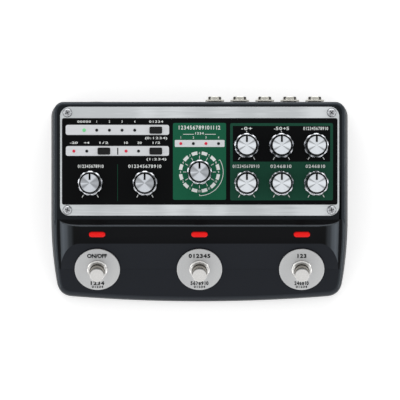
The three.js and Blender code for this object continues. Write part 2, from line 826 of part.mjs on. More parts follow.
// Scalloped ring of a knob's wall at one height
function knobRing(radius, z, scallop) {
  const count = knobLobes * scallopShares.length;
  return Array.from({ length: count }, (unused, index) => {
    const reach = radius - scallop * scallopShares[index % scallopShares.length];
    const angle = index / count * 2 * Math.PI + Math.PI / 2;
    return new THREE.Vector3(reach * Math.cos(angle), reach * Math.sin(angle), z);
  });
}

function knob() {
  const rings = [
    knobRing(knobSkirtRadius, 0, knobScallop),
    knobRing(knobSkirtRadius, knobSkirtHeight, knobScallop),
    knobRing(knobTopRadius, knobShoulderHeight, knobTopScallop),
    knobRing(knobCapRadius, knobHeight, 0),
  ];
  const body = spokedLoft(rings);
  const pointer = block(knobPointerWidth, knobPointerLength + overrun, knobPointerDepth + overrun);
  const pointerY = knobCapRadius - knobPointerLength + (knobPointerLength + overrun) / 2;
  const cap = rod(knobCapRadius - knobCapDepth, knobCapDepth + overrun, holeSides);
  const shaftRoom = knobHeight - knobTopThickness;
  return shaped(body, [], [
    moved(cap, 0, 0, knobHeight - knobCapDepth),
    moved(pointer, 0, pointerY, knobHeight - knobPointerDepth),
    moved(rod(knobHubRadius, knobHubDepth + overrun, potSides), 0, 0, -overrun),
    moved(rod(potShaftRadius + fit, shaftRoom + overrun, smallSides), 0, 0, -overrun),
  ]);
}

function panelBoard() {
  const depth = panelBoardRearY - panelBoardFrontY;
  const centreY = (panelBoardRearY + panelBoardFrontY) / 2;
  const sheet = block(panelBoardWidth, depth, boardThickness);
  moved(sheet, 0, centreY, panelBoardTop - boardThickness);
  const parts = [];
  knobPlaces.forEach((spot) => {
    const [x, y] = spot;
    const sides = spot === selectorPlace ? [selectorCaseWidth, selectorCaseWidth] : [potWidth, potDepth];
    parts.push(moved(block(...sides, potHeight + weld), x, y, panelBoardTop - weld));
    const bushingFoot = panelBottom - fit - weld;
    parts.push(moved(rod(potBushingRadius, bushingTop - bushingFoot, potSides), x, y, bushingFoot));
    parts.push(moved(rod(potShaftRadius, potShaftLength + weld, potSides), x, y, bushingTop - weld));
  });
  const stemTop = panelBottom - fit - buttonFlangeThickness - buttonTravel - fit;
  buttonPlaces.forEach(([x, y]) => {
    parts.push(moved(block(tactWidth, tactWidth, tactHeight + weld), x, y, panelBoardTop - weld));
    parts.push(moved(rod(tactStemRadius, stemTop - panelBoardTop, smallSides), x, y, panelBoardTop));
  });
  dotPlaces.forEach(([x, y]) => {
    parts.push(moved(block(chipWidth, chipWidth, chipHeight + weld), x, y, panelBoardTop - weld));
  });
  return shaped(sheet, parts, []);
}

function mainBoard() {
  const depth = mainBoardRearY - mainBoardFrontY;
  const centreY = (mainBoardRearY + mainBoardFrontY) / 2;
  const sheet = block(mainBoardWidth, depth, boardThickness);
  moved(sheet, 0, centreY, mainBoardTop - boardThickness);
  const foot = mainBoardTop - weld;
  const chip = (width, share) => (
    moved(block(width, width, processorHeight + weld), ...onMainBoard(share, chipRowShare), foot)
  );
  const capacitor = (share) => moved(
    rod(capacitorRadius, capacitorHeight + weld, smallSides),
    ...onMainBoard(share, capacitorRowShare),
    foot,
  );
  const chips = [chip(processorWidth, processorShare), chip(memoryWidth, memoryShare)];
  return shaped(sheet, [...chips, ...capacitorShares.map(capacitor)], []);
}

// A comb: a spine in front of the dots, clear of the buttons, with an arm and an upright pip for each
function lightBar({ dots }) {
  const top = panelBottom - fit;
  const foot = top - guideThickness;
  const [[firstX, y]] = dots;
  const [lastX] = dots[dots.length - 1];
  const start = firstX - guideArmWidth / 2;
  const length = lastX + guideArmWidth / 2 - start;
  const spineRearY = y - buttonDepth / 2 - buttonFlange - fit;
  const spineY = spineRearY - guideSpineWidth / 2;
  const spine = moved(block(length, guideSpineWidth, guideThickness), start + length / 2, spineY, foot);
  const armRearY = y + guideArmWidth / 2;
  const armLength = armRearY - spineRearY + guideSpineWidth;
  const parts = dots.flatMap(([x]) => [
    moved(block(guideArmWidth, armLength, guideThickness), x, armRearY - armLength / 2, foot),
    moved(rod(dotRadius, panelTop - top + weld, smallSides), x, y, top - weld),
  ]);
  return shaped(spine, parts, []);
}

function panelButton() {
  const height = panelSheet + fit + buttonStand;
  const cap = moved(slab(buttonOutline(0), height - buttonEdge + weld), 0, 0, -weld);
  const crown = slab(buttonOutline(-buttonEdge), height);
  const [flangeWidth, flangeDepth] = [buttonWidth, buttonDepth].map((side) => side + 2 * buttonFlange);
  const flange = moved(block(flangeWidth, flangeDepth, buttonFlangeThickness), 0, 0, -buttonFlangeThickness);
  return shaped(cap, [crown, flange], []);
}

function phoneJack() {
  const faceY = rearWallY(socketZ) - caseWall - fit;
  const body = moved(
    block(socketBodyWidth, socketBodyLength, socketBodyHeight),
    0,
    faceY - socketBodyLength / 2,
    socketZ - socketBodyHeight / 2,
  );
  const bushingLength = socketTipY - faceY;
  const bushing = rearRod(socketBushingRadius, bushingLength + weld, holeSides);
  moved(bushing, 0, faceY - weld, socketZ);
  const bore = moved(
    rearRod(socketBoreRadius, socketBoreDepth + bushingLength + overrun, holeSides),
    0,
    faceY - socketBoreDepth,
    socketZ,
  );
  return shaped(body, [bushing], [bore]);
}

function jackNut() {
  const cornerRadius = socketNutFlats / 2 / Math.cos(Math.PI / 6);
  const hex = new THREE.CylinderGeometry(cornerRadius, cornerRadius, socketNutThickness, 6);
  hex.translate(0, socketNutThickness / 2, 0);
  const rounder = turned([
    [0, 0],
    [cornerRadius, 0],
    [cornerRadius, socketNutThickness - socketNutChamfer],
    [cornerRadius - 2 * socketNutChamfer, socketNutThickness],
    [0, socketNutThickness],
  ], holeSides).rotateX(-Math.PI / 2);
  const bore = rearRod(socketBushingRadius + slip, socketNutThickness + 2 * overrun, holeSides);
  moved(bore, 0, -overrun, 0);
  const solid = asSolid(hex).intersect(asSolid(rounder)).subtract(asSolid(bore));
  return asGeometry(solid).translate(0, rearWallY(socketZ) + fit, socketZ);
}

function miniJack() {
  const faceY = rearWallY(miniJackZ) - caseWall - fit;
  const body = moved(
    block(miniJackBodyWidth, miniJackBodyLength, miniJackZ + miniJackBodyHeight / 2 - mainBoardTop - fit),
    0,
    faceY - miniJackBodyLength / 2,
    mainBoardTop + fit,
  );
  const reach = caseWall + fit;
  const collar = moved(rearRod(miniJackRadius, reach + weld, smallSides), 0, faceY - weld, miniJackZ);
  const bore = moved(
    rearRod(miniJackBoreRadius, miniJackBodyLength + reach, smallSides),
    0,
    faceY - miniJackBodyLength + overrun,
    miniJackZ,
  );
  return shaped(body, [collar], [bore]);
}

function usbPort() {
  const mouthY = rearWallY(portZ);
  const foot = portZ - portHeight / 2;
  const shell = moved(block(portWidth, portLength, portHeight), portX, mouthY - portLength / 2, foot);
  const baseLength = portLength - caseWall - fit;
  const baseFoot = mainBoardTop + fit;
  const base = moved(
    block(portWidth, baseLength, foot - baseFoot + portShell / 2),
    portX,
    mouthY - portLength + baseLength / 2,
    baseFoot,
  );
  const mouth = moved(
    block(portWidth - 2 * portShell, portLength, portHeight - 2 * portShell),
    portX,
    mouthY - portLength / 2 + portShell,
    foot + portShell,
  );
  const tongue = moved(
    block(portTongueWidth, portLength - portShell, portTongueThickness),
    portX,
    mouthY - portLength / 2,
    portZ - portTongueThickness / 2,
  );
  const bare = asSolid(shell).add(asSolid(base)).subtract(asSolid(mouth));
  return asGeometry(bare.add(asSolid(tongue)));
}

function dcInlet() {
  const faceY = rearWallY(inletZ) - caseWall - fit;
  const body = moved(
    block(inletBodyWidth, inletBodyLength, inletZ + inletBodyHeight / 2 - mainBoardTop - fit),
    inletX,
    faceY - inletBodyLength / 2,
    mainBoardTop + fit,
  );
  const reach = caseWall + fit;
  const collar = moved(rearRod(inletRadius, reach + weld, midSides), inletX, faceY - weld, inletZ);
  const bore = moved(
    rearRod(inletBoreRadius, inletBoreDepth + reach + overrun, midSides),
    inletX,
    faceY - inletBoreDepth,
    inletZ,
  );
  const pinFoot = faceY - inletBoreDepth - weld;
  const pin = moved(rearRod(inletPinRadius, inletBoreDepth + weld, smallSides), inletX, pinFoot, inletZ);
  return asGeometry(asSolid(body).add(asSolid(collar)).subtract(asSolid(bore)).add(asSolid(pin)));
}

// Footswitch pieces, in the deck's frame: z = 0 is the deck's face

const plateFoot = fit;
const nutFoot = plateFoot + plateSheet + fit;
const nutTop = nutFoot + nutHeight;
const collarTop = nutTop - collarStand;
const switchBodyTop = -roofThickness - fit;
const switchRoomTop = switchBodyTop - switchBodyFloor;
const switchFloor = switchBodyTop - switchBodyDepth + switchBodyFloor;
const plungerFlangeTop = switchRoomTop - fit;
const plungerFlangeFoot = plungerFlangeTop - plungerFlangeThickness;
const plungerBoreTop = plungerStand - plungerTopThickness;

function footswitchPlate() {
  return shaped(
    moved(rod(plateRadius, plateSheet, wideSides), 0, 0, plateFoot),
    [],
    [moved(rod(collarRadius + fit, plateSheet + 2 * overrun, holeSides), 0, 0, plateFoot - overrun)],
  );
}

function footswitchNut() {
  const inner = collarRadius + slip;
  const ring = turned([
    [inner, nutFoot],
    [nutRadius, nutFoot],
    [nutRadius, nutTop - nutChamfer],
    [nutRadius - nutChamfer, nutTop],
    [inner, nutTop],
    [inner, nutFoot],
  ], midSides);
  const notchLength = 2 * (nutRadius + overrun);
  const notch = block(notchLength, nutNotchWidth, nutNotchDepth + overrun);
  moved(notch, 0, 0, nutTop - nutNotchDepth);
  return shaped(ring, [], [notch]);
}

function footswitchHousing() {
  const foot = switchBodyTop - switchBodyDepth;
  const body = moved(block(switchBodyWidth, switchBodyWidth, switchBodyDepth), 0, 0, foot);
  const collarFoot = switchBodyTop - weld;
  const collar = moved(rod(collarRadius, collarTop - collarFoot, midSides), 0, 0, collarFoot);
  const lugs = [-switchLugSpacing, 0, switchLugSpacing].map((x) => (
    moved(
      block(switchLugWidth, switchLugThickness, switchLugLength + weld),
      x,
      switchBodyWidth / 2 - 2 * switchLugThickness,
      foot - switchLugLength,
    )
  ));
  const room = rod(plungerFlangeRadius + fit, switchRoomTop - switchFloor, holeSides);
  moved(room, 0, 0, switchFloor);
  const bore = moved(rod(collarBoreRadius, collarTop - switchFloor, midSides), 0, 0, switchFloor + overrun);
  return shaped(body, [collar, ...lugs], [room, bore]);
}

function footswitchPlunger() {
  return turned([
    [plungerBoreRadius, plungerFlangeFoot],
    [plungerFlangeRadius, plungerFlangeFoot],
    [plungerFlangeRadius, plungerFlangeTop],
    [plungerRadius, plungerFlangeTop],
    [plungerRadius, plungerStand - plungerEdge],
    [plungerRadius - plungerEdge, plungerStand],
    [0, plungerStand],
    [0, plungerBoreTop],
    [plungerBoreRadius, plungerBoreTop],
    [plungerBoreRadius, plungerFlangeFoot],
  ], midSides);
}

function footswitchSpring() {
  const foot = switchFloor + fit + springWireRadius;
  const top = plungerBoreTop - fit - springWireRadius;
  const steps = springTurns * springStepsPerTurn;
  const rings = Array.from({ length: steps + 1 }, (unused, step) => {
    const angle = step / springStepsPerTurn * 2 * Math.PI;
    const z = THREE.MathUtils.lerp(foot, top, step / steps);
    return Array.from({ length: springWireSides }, (alsoUnused, side) => {
      const around = side / springWireSides * 2 * Math.PI;
      const reach = springRadius + springWireRadius * Math.cos(around);
      const rise = springWireRadius * Math.sin(around);
      return new THREE.Vector3(reach * Math.cos(angle), reach * Math.sin(angle), z + rise);
    });
  });
  const cap = fan(indicesOf(rings[0]));
  return lofted(rings, cap, cap);
}

function lampLens() {
  const foot = -roofThickness - fit - lensFlangeThickness;
  const flange = moved(
    block(lensWidth + 2 * lensFlange, lensDepth + 2 * lensFlange, lensFlangeThickness),
    0,
    0,
    foot,
  );
  const body = moved(slab(lensOutline(0), lensStand - foot), 0, 0, foot);
  const dome = moved(slab(lensOutline(-lensDome), lensStand + lensDome / 2 - foot), 0, 0, foot);
  return shaped(flange, [body, dome], []);
}

// Finishes
const finish = (color, roughness, metalness) => (
  new THREE.MeshStandardMaterial({ color, roughness, metalness })
);
const blackEnamel = finish(0x1b1d20, 0.42, 0.3);
const steelSheet = finish(0x8f9396, 0.4, 0.9);
const brushedAluminium = finish(0xc9ccce, 0.35, 0.9);
const screwSteel = finish(0xd5d8da, 0.25, 1);
const knobChrome = finish(0xd8dadd, 0.18, 1);
const switchChrome = finish(0xdfe0e0, 0.16, 1);
const plateSilver = finish(0xbfc1c2, 0.4, 0.7);
const nickel = finish(0xc4c4c0, 0.25, 1);
const springSteel = finish(0x9a9da0, 0.3, 1);
const blackPlastic = finish(0x141416, 0.5, 0);
const buttonRubber = finish(0x1c1c1f, 0.6, 0);
const footRubber = finish(0x222224, 0.85, 0);
const boardGreen = finish(0x1f4f38, 0.5, 0);
const lightGuide = finish(0xe8e6e2, 0.3, 0);
const lampRed = finish(0xff2a22, 0.25, 0);

const unit = new THREE.Group();

function place(name, geometry, material, matrix) {
  const mesh = new THREE.Mesh(geometry, material);
  mesh.name = name;
  if (matrix) mesh.applyMatrix4(matrix);
  unit.add(mesh);
}

const at = (x, y, z) => new THREE.Matrix4().makeTranslation(x, y, z);

place('chassis', chassis(), blackEnamel);
place('bottom_cover', bottomCover(), steelSheet);
place('top_panel', topPanel(), brushedAluminium);
place('panel_board', panelBoard(), boardGreen);
place('main_board', mainBoard(), boardGreen);

footPlaces.forEach(([x, y], i) => place(`rubber_foot_${i + 1}`, rubberFoot(), footRubber, at(x, y, 0)));

panelScrewPlaces.forEach(([x, y], i) => {
  place(`panel_screw_${i + 1}`, panelScrew(), screwSteel, at(x, y, panelTop + fit / 2));
});

knobPlaces.forEach(([x, y], i) => place(`knob_${i + 1}`, knob(), knobChrome, at(x, y, knobBottom)));

lightRows.forEach((row) => place(row.name, lightBar(row), lightGuide));

buttonPlaces.forEach(([x, y], i) => {
  place(`panel_button_${i + 1}`, panelButton(), buttonRubber, at(x, y, panelBottom - fit));
});

socketXs.forEach((x, i) => {
  place(`phone_jack_${i + 1}`, phoneJack(), blackPlastic, at(x, 0, 0));
  place(`jack_nut_${i + 1}`, jackNut(), nickel, at(x, 0, 0));
});
place('midi_out_jack', miniJack(), blackPlastic, at(miniJackXs[0], 0, 0));
place('midi_in_jack', miniJack(), blackPlastic, at(miniJackXs[1], 0, 0));
place('usb_port', usbPort(), nickel);
place('dc_inlet', dcInlet(), blackPlastic);

switchXs.forEach((x, i) => {
  const deck = deckMatrix(x);
  place(`footswitch_plate_${i + 1}`, footswitchPlate(), plateSilver, deck);
  place(`footswitch_nut_${i + 1}`, footswitchNut(), switchChrome, deck);
  place(`footswitch_housing_${i + 1}`, footswitchHousing(), switchChrome, deck);
  place(`footswitch_plunger_${i + 1}`, footswitchPlunger(), switchChrome, deck);
  place(`footswitch_spring_${i + 1}`, footswitchSpring(), springSteel, deck);
});

lampXs.forEach((x, i) => place(`footswitch_lamp_lens_${i + 1}`, lampLens(), lampRed, lampMatrix(x)));

export default unit;
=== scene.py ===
import json
from math import atan, cos, exp, inf, pi, radians, sin, tan, tau

import bmesh
import bpy
from mathutils import Matrix, Vector, geometry


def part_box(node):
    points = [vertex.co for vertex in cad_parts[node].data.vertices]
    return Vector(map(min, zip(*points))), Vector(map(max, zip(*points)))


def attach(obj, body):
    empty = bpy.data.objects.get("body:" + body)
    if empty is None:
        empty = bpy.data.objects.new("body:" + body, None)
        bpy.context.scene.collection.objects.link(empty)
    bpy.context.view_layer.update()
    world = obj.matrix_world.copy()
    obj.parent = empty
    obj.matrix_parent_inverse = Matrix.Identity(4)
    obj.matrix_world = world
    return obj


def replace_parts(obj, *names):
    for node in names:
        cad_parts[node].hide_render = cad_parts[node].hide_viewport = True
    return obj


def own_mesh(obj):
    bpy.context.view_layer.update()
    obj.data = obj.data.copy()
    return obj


# Sizes are in millimetres, and they become metres where a mesh or its place is made
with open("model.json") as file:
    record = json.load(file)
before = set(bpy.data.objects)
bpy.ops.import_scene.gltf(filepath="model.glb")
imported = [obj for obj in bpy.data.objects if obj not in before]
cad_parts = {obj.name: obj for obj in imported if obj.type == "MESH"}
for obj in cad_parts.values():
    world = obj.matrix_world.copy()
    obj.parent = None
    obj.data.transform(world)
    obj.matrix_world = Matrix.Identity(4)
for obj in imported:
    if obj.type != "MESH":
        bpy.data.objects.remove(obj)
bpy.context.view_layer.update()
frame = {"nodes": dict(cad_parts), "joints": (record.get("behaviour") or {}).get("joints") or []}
MM = 0.001
SQUARE = ((-1, -1), (1, -1), (1, 1), (-1, 1))  # corners, counterclockwise

# Case: its front faces down the y axis, and its feet stand on z = 0
CASE_WIDTH = 192
CASE_DEPTH = 132
FRONT_Y = -CASE_DEPTH / 2
REAR_Y = CASE_DEPTH / 2 - 2.8
FOOT_LEVEL = 2
TOP_LEVEL = 38.5
TOP_FRONT_Y = -0.0962 * CASE_DEPTH
CREASE_Y = -0.2144 * CASE_DEPTH
CREASE_LEVEL = 0.6522 * TOP_LEVEL
LIP_LEVEL = 0.2142 * TOP_LEVEL
SCOOP_DEPTH = 0.0857 * TOP_LEVEL
CASE_WALL = 2.6
ROOF = 2.8
BOW_RADIUS = 1020
SIDE_BOW = 230
FRONT_CORNER = 8
REAR_CORNER = 9.3
SIDE_EDGE = 2.8
REAR_EDGE = 2
LIP_EDGE = 3.2
INNER_EDGE = 0.3  # the inner edges' share of the outer ones
SIDE_DRAFT = radians(4.2)
REAR_DRAFT = radians(1.6)
FRONT_DRAFT = radians(1.5)
SCOOP_WIDTH = 178.4
SCOOP_FLAT = 154
WALL_SLOPE = radians(56.3)
SCOOP_FILLET = 1.1
SKIM = 0.02
OVERRUN = 1
CASE_SMOOTH = 28

# Slopes of the deck and of the lamp slope above it
LAMP_TAN = (TOP_LEVEL - SCOOP_DEPTH - CREASE_LEVEL) / (TOP_FRONT_Y - CREASE_Y)
DECK_TAN = (CREASE_LEVEL - LIP_LEVEL) / (CREASE_Y - FRONT_Y)
FOLD_TAN = LAMP_TAN - DECK_TAN
LAMP_SLOPE = atan(LAMP_TAN)
DECK_SLOPE = atan(DECK_TAN)

# Which coat a face of the case takes, from its normal and its place: the one enamel, or a copy of it painted
# lighter or darker where light or shade falls
WALL_TILT = 0.2  # walls face up by less than this
FLAT_MATCH = 0.9985  # least cosine between a face and the slope it belongs to
SCOOP_END_NORMAL = (-0.62, -0.35)  # y of the normals on the scoop's ends
SCOOP_END_Y = (CREASE_Y - 14, TOP_FRONT_Y - 3)
CHEEK_STRIP = 0.6  # half the width of the strip where the cheeks end
LIP_REAR = -56  # in front of this the first turn of the front's rounding is the lip
LIP_TURN = 0.86  # least cosine between the lip and the deck

# Panel, its opening and its print
PANEL_TOP = 40
PANEL_FOOT = 38.6
PANEL_BOX = (-88.65, -10.23, 88.85, 58.99)
PANEL_CORNER = 6
BUSH_HOLE = 4.1
WINDOW = (-82, -2.2, 82, 50.6)
WINDOW_CORNER = 4
PRINT_STEP = 0.04  # each layer of print stands this much above the last
PRINT_LIFT = 0.005
PANEL_PRINT = (-87.5, -3.3, 87.8, 51.8)
MODE_FIELD = (-16.9, -0.2, 16.9, 48.7)
TONE_FIELD = (19.5, -0.5, 84.9, 48.6)
TONE_INSET = (21.2, 24.1, 83.1, 46.8)
MEMORY_STRIP = (-85.1, 41.1, -19.3, 47.5)
INPUT_STRIP = (-85, 27.8, -19.4, 34)
HEAD_STRIP = (-15.7, 33.45, 15.95, 37.85)
PRINT_CORNER = 1.3
DIAL_PLACE = (0, 17.5)
DIGIT_SHARE = 0.7  # height of a digit in the type's size

# Panel keys
BUTTON_SIZE = (7.5, 3.9)
KEY_FOOT = 38.5
KEY_PLAY = 0.15
KEY_OPENING_CORNER = 0.6
KEY_SHADE_LINE = (1.62, 1.66)  # levels of the dark line of painted shade round a key, above its foot

# Footswitch columns
SWITCH_X = 65.7024
SWITCH_Y = -0.3379 * CASE_DEPTH
COLLAR_HOLE = 6.3
LAMP_X = 65.4912
LAMP_Y = -0.1693 * CASE_DEPTH
LENS_SIZE = (10.4, 3.8)
LENS_GAP = 0.2

# Rear sockets: places are (x, z)
SOCKET_XS = [9.792 + i * 16.0512 for i in range(5)]
SOCKET_Z = 20
SOCKET_HOLE = 4.8
MINI_XS = [-12, -26]
MINI_Z = 17
MINI_HOLE = 3.3
PORT_PLACE = (-44, 15.6)
PORT_SIZE = (9.6, 3.9)
INLET_PLACE = (-66, 18.6)
INLET_HOLE = 5.3

# Camera: straight above the middle of the unit
CAMERA_PLACE = (0.32, -0.3, TOP_LEVEL + 2000)
CAMERA_LENS = 282.8
CAMERA_SENSOR = 36


def mix(a, b, share):
    return a + (b - a) * share


def lamp_level(y):
    return TOP_LEVEL - LAMP_TAN * (TOP_FRONT_Y - y) - SCOOP_DEPTH


def deck_level(y):
    return lamp_level(CREASE_Y) + DECK_TAN * (y - CREASE_Y)


def outer_level(y):
    return min(TOP_LEVEL, max(lamp_level(y) + SCOOP_DEPTH, deck_level(y)))


def inner_level(y):
    slopes = max(lamp_level(y) - ROOF / cos(LAMP_SLOPE), deck_level(y) - ROOF / cos(DECK_SLOPE))
    return min(TOP_LEVEL - ROOF, slopes)


def moved(x, y, z):
    return Matrix.Translation((x * MM, y * MM, z * MM))


def tilted(x, y, z, slope):
    """A frame whose z axis is square to a slope that faces the front."""
    return moved(x, y, z) @ Matrix.Rotation(slope, 4, "X")


def deck_frame(x):
    return tilted(x, SWITCH_Y, deck_level(SWITCH_Y), DECK_SLOPE)


def lamp_frame(x):
    return tilted(x, LAMP_Y, lamp_level(LAMP_Y), LAMP_SLOPE)


def linear(colour):
    """A colour from 0 to 255 as light values."""
    shares = [value / 255 for value in colour]
    return (*[share / 12.92 if share <= 0.04045 else ((share + 0.055) / 1.055) ** 2.4 for share in shares], 1)


# Materials: each is mixed from two tones by a noise and has its own grain

WHITE = (1, 1, 1, 1)
COOL = (0.78, 0.9, 1, 1)  # tint of the enamel's gloss
BRUSHED_ACROSS = (0.03, 1, 1)
REFLECTION_PATCH_STRETCH = (1, 0.12, 1)  # broad patches of painted reflection run from front to rear
REFLECTION_PATCH_SHARE = 1.6
TONE_STOPS = (0.3, 0.7)  # the noise passes from one tone to the other between these
LEAST_ROUGH = 0.02
RELIEF_HEIGHT = 0.0001


def grey(share):
    return (share, share, share, 1)


def fill(node, values):
    """Links sockets to a node's inputs, and sets the other values."""
    for entry, value in values.items():
        if isinstance(value, bpy.types.NodeSocket):
            node.id_data.links.new(value, node.inputs[entry])
        else:
            node.inputs[entry].default_value = value
    return node


def new_node(tree, kind, values):
    return fill(tree.nodes.new(kind), values)


def maths(tree, operation, *values):
    node = new_node(tree, "ShaderNodeMath", dict(enumerate(values)))
    node.operation = operation
    return node.outputs[0]


def object_place(tree):
    return tree.nodes.new("ShaderNodeTexCoord").outputs["Object"]


def noise(tree, stretch, scale, detail):
    mapping = new_node(tree, "ShaderNodeMapping", {"Vector": object_place(tree), "Scale": stretch})
    values = {"Vector": mapping.outputs["Vector"], "Scale": scale, "Detail": detail}
    return new_node(tree, "ShaderNodeTexNoise", values).outputs["Fac"]


def material(name, tone, second, rough, metal=0, grain=400, stretch=(1, 1, 1), bump=0.05,
             rough_spread=0.08, specular=0.5, glow=0, anisotropic=0, reflection_patch=0, tint=WHITE):
    """Tones are given from 0 to 255; broad patches of painted reflection are laid on where a patch scale is
    given.
    """
    mat = bpy.data.materials.new(name)
    mat.use_nodes = True
    tree = mat.node_tree
    grains = noise(tree, stretch, grain, 4)
    value = grains
    if reflection_patch:
        lowered = maths(tree, "SUBTRACT", grains, REFLECTION_PATCH_SHARE / 2)
        value = maths(tree, "MULTIPLY_ADD", noise(tree, REFLECTION_PATCH_STRETCH, reflection_patch, 1), REFLECTION_PATCH_SHARE, lowered)
    tones = new_node(tree, "ShaderNodeValToRGB", {"Fac": value})
    for stop, position, colour in zip(tones.color_ramp.elements, TONE_STOPS, (tone, second)):
        stop.position = position
        stop.color = linear(colour)
    low, high = max(rough - rough_spread, LEAST_ROUGH), rough + rough_spread
    spread = new_node(tree, "ShaderNodeMapRange", {"Value": grains, "To Min": low, "To Max": high})
    relief = new_node(tree, "ShaderNodeBump", {"Height": grains, "Strength": bump, "Distance": RELIEF_HEIGHT})
    shader = fill(tree.nodes["Principled BSDF"], {
        "Metallic": metal, "Specular IOR Level": specular, "Specular Tint": tint,
        "Base Color": tones.outputs["Color"], "Roughness": spread.outputs["Result"],
        "Normal": relief.outputs["Normal"]})
    if anisotropic:
        tangent = tree.nodes.new("ShaderNodeTangent")
        tangent.direction_type = "RADIAL"
        tangent.axis = "Z"
        fill(shader, {"Anisotropic": anisotropic, "Tangent": tangent.outputs["Tangent"]})
    if glow:
        fill(shader, {"Emission Color": linear(tone), "Emission Strength": glow})
    return mat


def enamel(name, tone, second, rough=0.34, specular=0.06, bump=0.08, tint=WHITE):
    return material(name, tone, second, rough, specular=specular, grain=2600, bump=bump, tint=tint)


def ink(name, tone, second, rough=0.45, specular=0.04, bump=0.05):
    return material(name, tone, second, rough, specular=specular, grain=3000, bump=bump)


def spun(name, tone, second):
    return material(name, tone, second, 0.36, 0.85, 2600, bump=0.02, rough_spread=0.04, anisotropic=0.8)


ENAMEL = enamel("case_enamel", (6, 7, 9), (10, 11, 14), 0.26, 0.18, 0.06, COOL)
# Rounded edges: the enamel painted lighter as painted sheen, with more gloss
EDGE_SHEEN_ENAMEL = enamel("edge_sheen_enamel", (18, 20, 25), (22, 24, 29), 0.26, 0.4, 0.04, COOL)
# Walls: the enamel painted lighter as a painted reflection of the floor, with its gloss turned down
WALL_REFLECTION_ENAMEL = enamel("wall_reflection_enamel", (26, 28, 32), (30, 32, 36), 0.5, 0.09, tint=COOL)
# Deck: the enamel painted lighter as a painted reflection of the light in front
DECK_REFLECTION_ENAMEL = enamel("deck_reflection_enamel", (26, 27, 32), (30, 31, 36), specular=0.15, tint=COOL)
# Front lip: the enamel painted lighter still, a painted sheen along the front's rounding
LIP_SHEEN_ENAMEL = enamel("lip_sheen_enamel", (38, 40, 45), (42, 44, 49), specular=0.15, bump=0.06, tint=COOL)
SLOPE_ENAMEL = enamel("slope_enamel", (8, 9, 12), (11, 12, 15))
# The scoop's ends: a pale enamel, shaded below into a band of painted highlight
END_HIGHLIGHT_ENAMEL = enamel("end_highlight_enamel", (104, 111, 119), (110, 117, 124))
SHADE_ENAMEL = enamel("shade_enamel", (5, 6, 8), (8, 9, 11), 0.4, 0.02)
BLACK_PRINT = ink("black_print", (8, 9, 10), (12, 13, 14))
GREY_SHADE = ink("grey_shade", (126, 128, 131), (136, 138, 141), 0.5, 0.1)
GREEN_PRINT = ink("green_print", (27, 91, 66), (31, 97, 70))
TONE_GREEN = ink("tone_green", (28, 70, 54), (33, 77, 60))
LINE_GREEN = ink("line_green", (20, 60, 44), (25, 66, 50), 0.5, bump=0.02)
WHITE_PRINT = ink("white_print", (226, 230, 228), (236, 238, 236), 0.5, 0.2)
# Dark ink for print, also used for the painted shade round the keys
DARK_PRINT_AND_SHADE = ink("dark_print_and_shade", (20, 21, 23), (28, 29, 31), 0.5, 0.05, 0.02)
STRIP_SILVER = material("strip_silver", (211, 213, 216), (219, 221, 224), 0.42, 0.3, 900, BRUSHED_ACROSS,
                        0.04, specular=0.2)
# Panel aluminium: broad patches of painted reflection over the brushing
ALUMINIUM = material("panel_aluminium", (190, 194, 196), (212, 216, 218), 0.36, 0.75, 1400, BRUSHED_ACROSS,
                     0.02, reflection_patch=45)
COVER_STEEL = material("cover_steel", (128, 131, 134), (146, 149, 152), 0.4, 0.9, 1200, BRUSHED_ACROSS, 0.06)
SCREW_STEEL = material("screw_steel", (158, 160, 163), (178, 180, 183), 0.26, 1, 3000, bump=0.04)
CHROME = material("knob_chrome", (150, 152, 156), (164, 166, 170), 0.24, 1, 1800, bump=0.03,
                  rough_spread=0.04)
SPUN = spun("spun_aluminium", (219, 224, 229), (231, 236, 241))
# A darker copy of the spun tops: painted shade for the first knobs
SPUN_SHADED = spun("spun_shaded", (201, 206, 212), (215, 219, 225))
SWITCH_CHROME = material("switch_chrome", (206, 205, 203), (216, 215, 213), 0.18, 1, 1500, bump=0.02,
                         rough_spread=0.04)
# Switch plates: broad patches of painted reflection
PLATE_SILVER = material("plate_silver", (187, 188, 189), (197, 198, 198), 0.4, 0.5, 1600, bump=0.04, reflection_patch=70)
# Darker, warmer steel: painted shade and reflection on the nut's collar and the plunger's shaft
SHADED_SHAFT_STEEL = material("shaded_shaft_steel", (146, 142, 135), (158, 154, 147), 0.22, 0.9, 1500, bump=0.02)
# Dark steel: painted shade in the plunger's grooves, on its shaft below the nut and on the sockets' bushings'
# flanks
SHADE_STEEL = material("steel_painted_shade", (44, 42, 39), (54, 52, 48), 0.3, 0.8, 1500, bump=0.02)
NICKEL = material("socket_nickel", (160, 159, 152), (184, 182, 175), 0.26, 1, 2000, bump=0.04)
SPRING_STEEL = material("spring_steel", (140, 142, 146), (160, 162, 166), 0.3, 1, 2000, bump=0.03)
BLACK_PLASTIC = material("black_plastic", (7, 7, 8), (11, 11, 12), 0.4, specular=0.05, grain=2200)
BUTTON_RUBBER = material("button_rubber", (13, 14, 15), (19, 20, 21), 0.35, specular=0.18, grain=2200,
                         bump=0.08)
FOOT_RUBBER = material("foot_rubber", (26, 26, 28), (36, 36, 38), 0.85, specular=0.2, grain=1800, bump=0.25)
BOARD_GREEN = material("board_green", (22, 70, 46), (30, 84, 56), 0.5, grain=900)
LIGHT_GUIDE = material("light_guide", (214, 212, 208), (226, 224, 220), 0.3, grain=900)
LAMP_RED = material("lamp_red", (210, 12, 12), (220, 18, 16), 0.3, specular=0.15, glow=0.3, grain=1500)
DOT_RED = material("dot_red", (190, 24, 54), (206, 36, 64), 0.3, specular=0.3, glow=0.25, grain=2500)
DOT_GREEN = material("dot_green", (98, 192, 124), (126, 212, 148), 0.3, glow=0.2, grain=2500)
DOT_DARK = material("dot_dark", (20, 21, 23), (28, 29, 31), 0.25, specular=0.2, grain=2500)


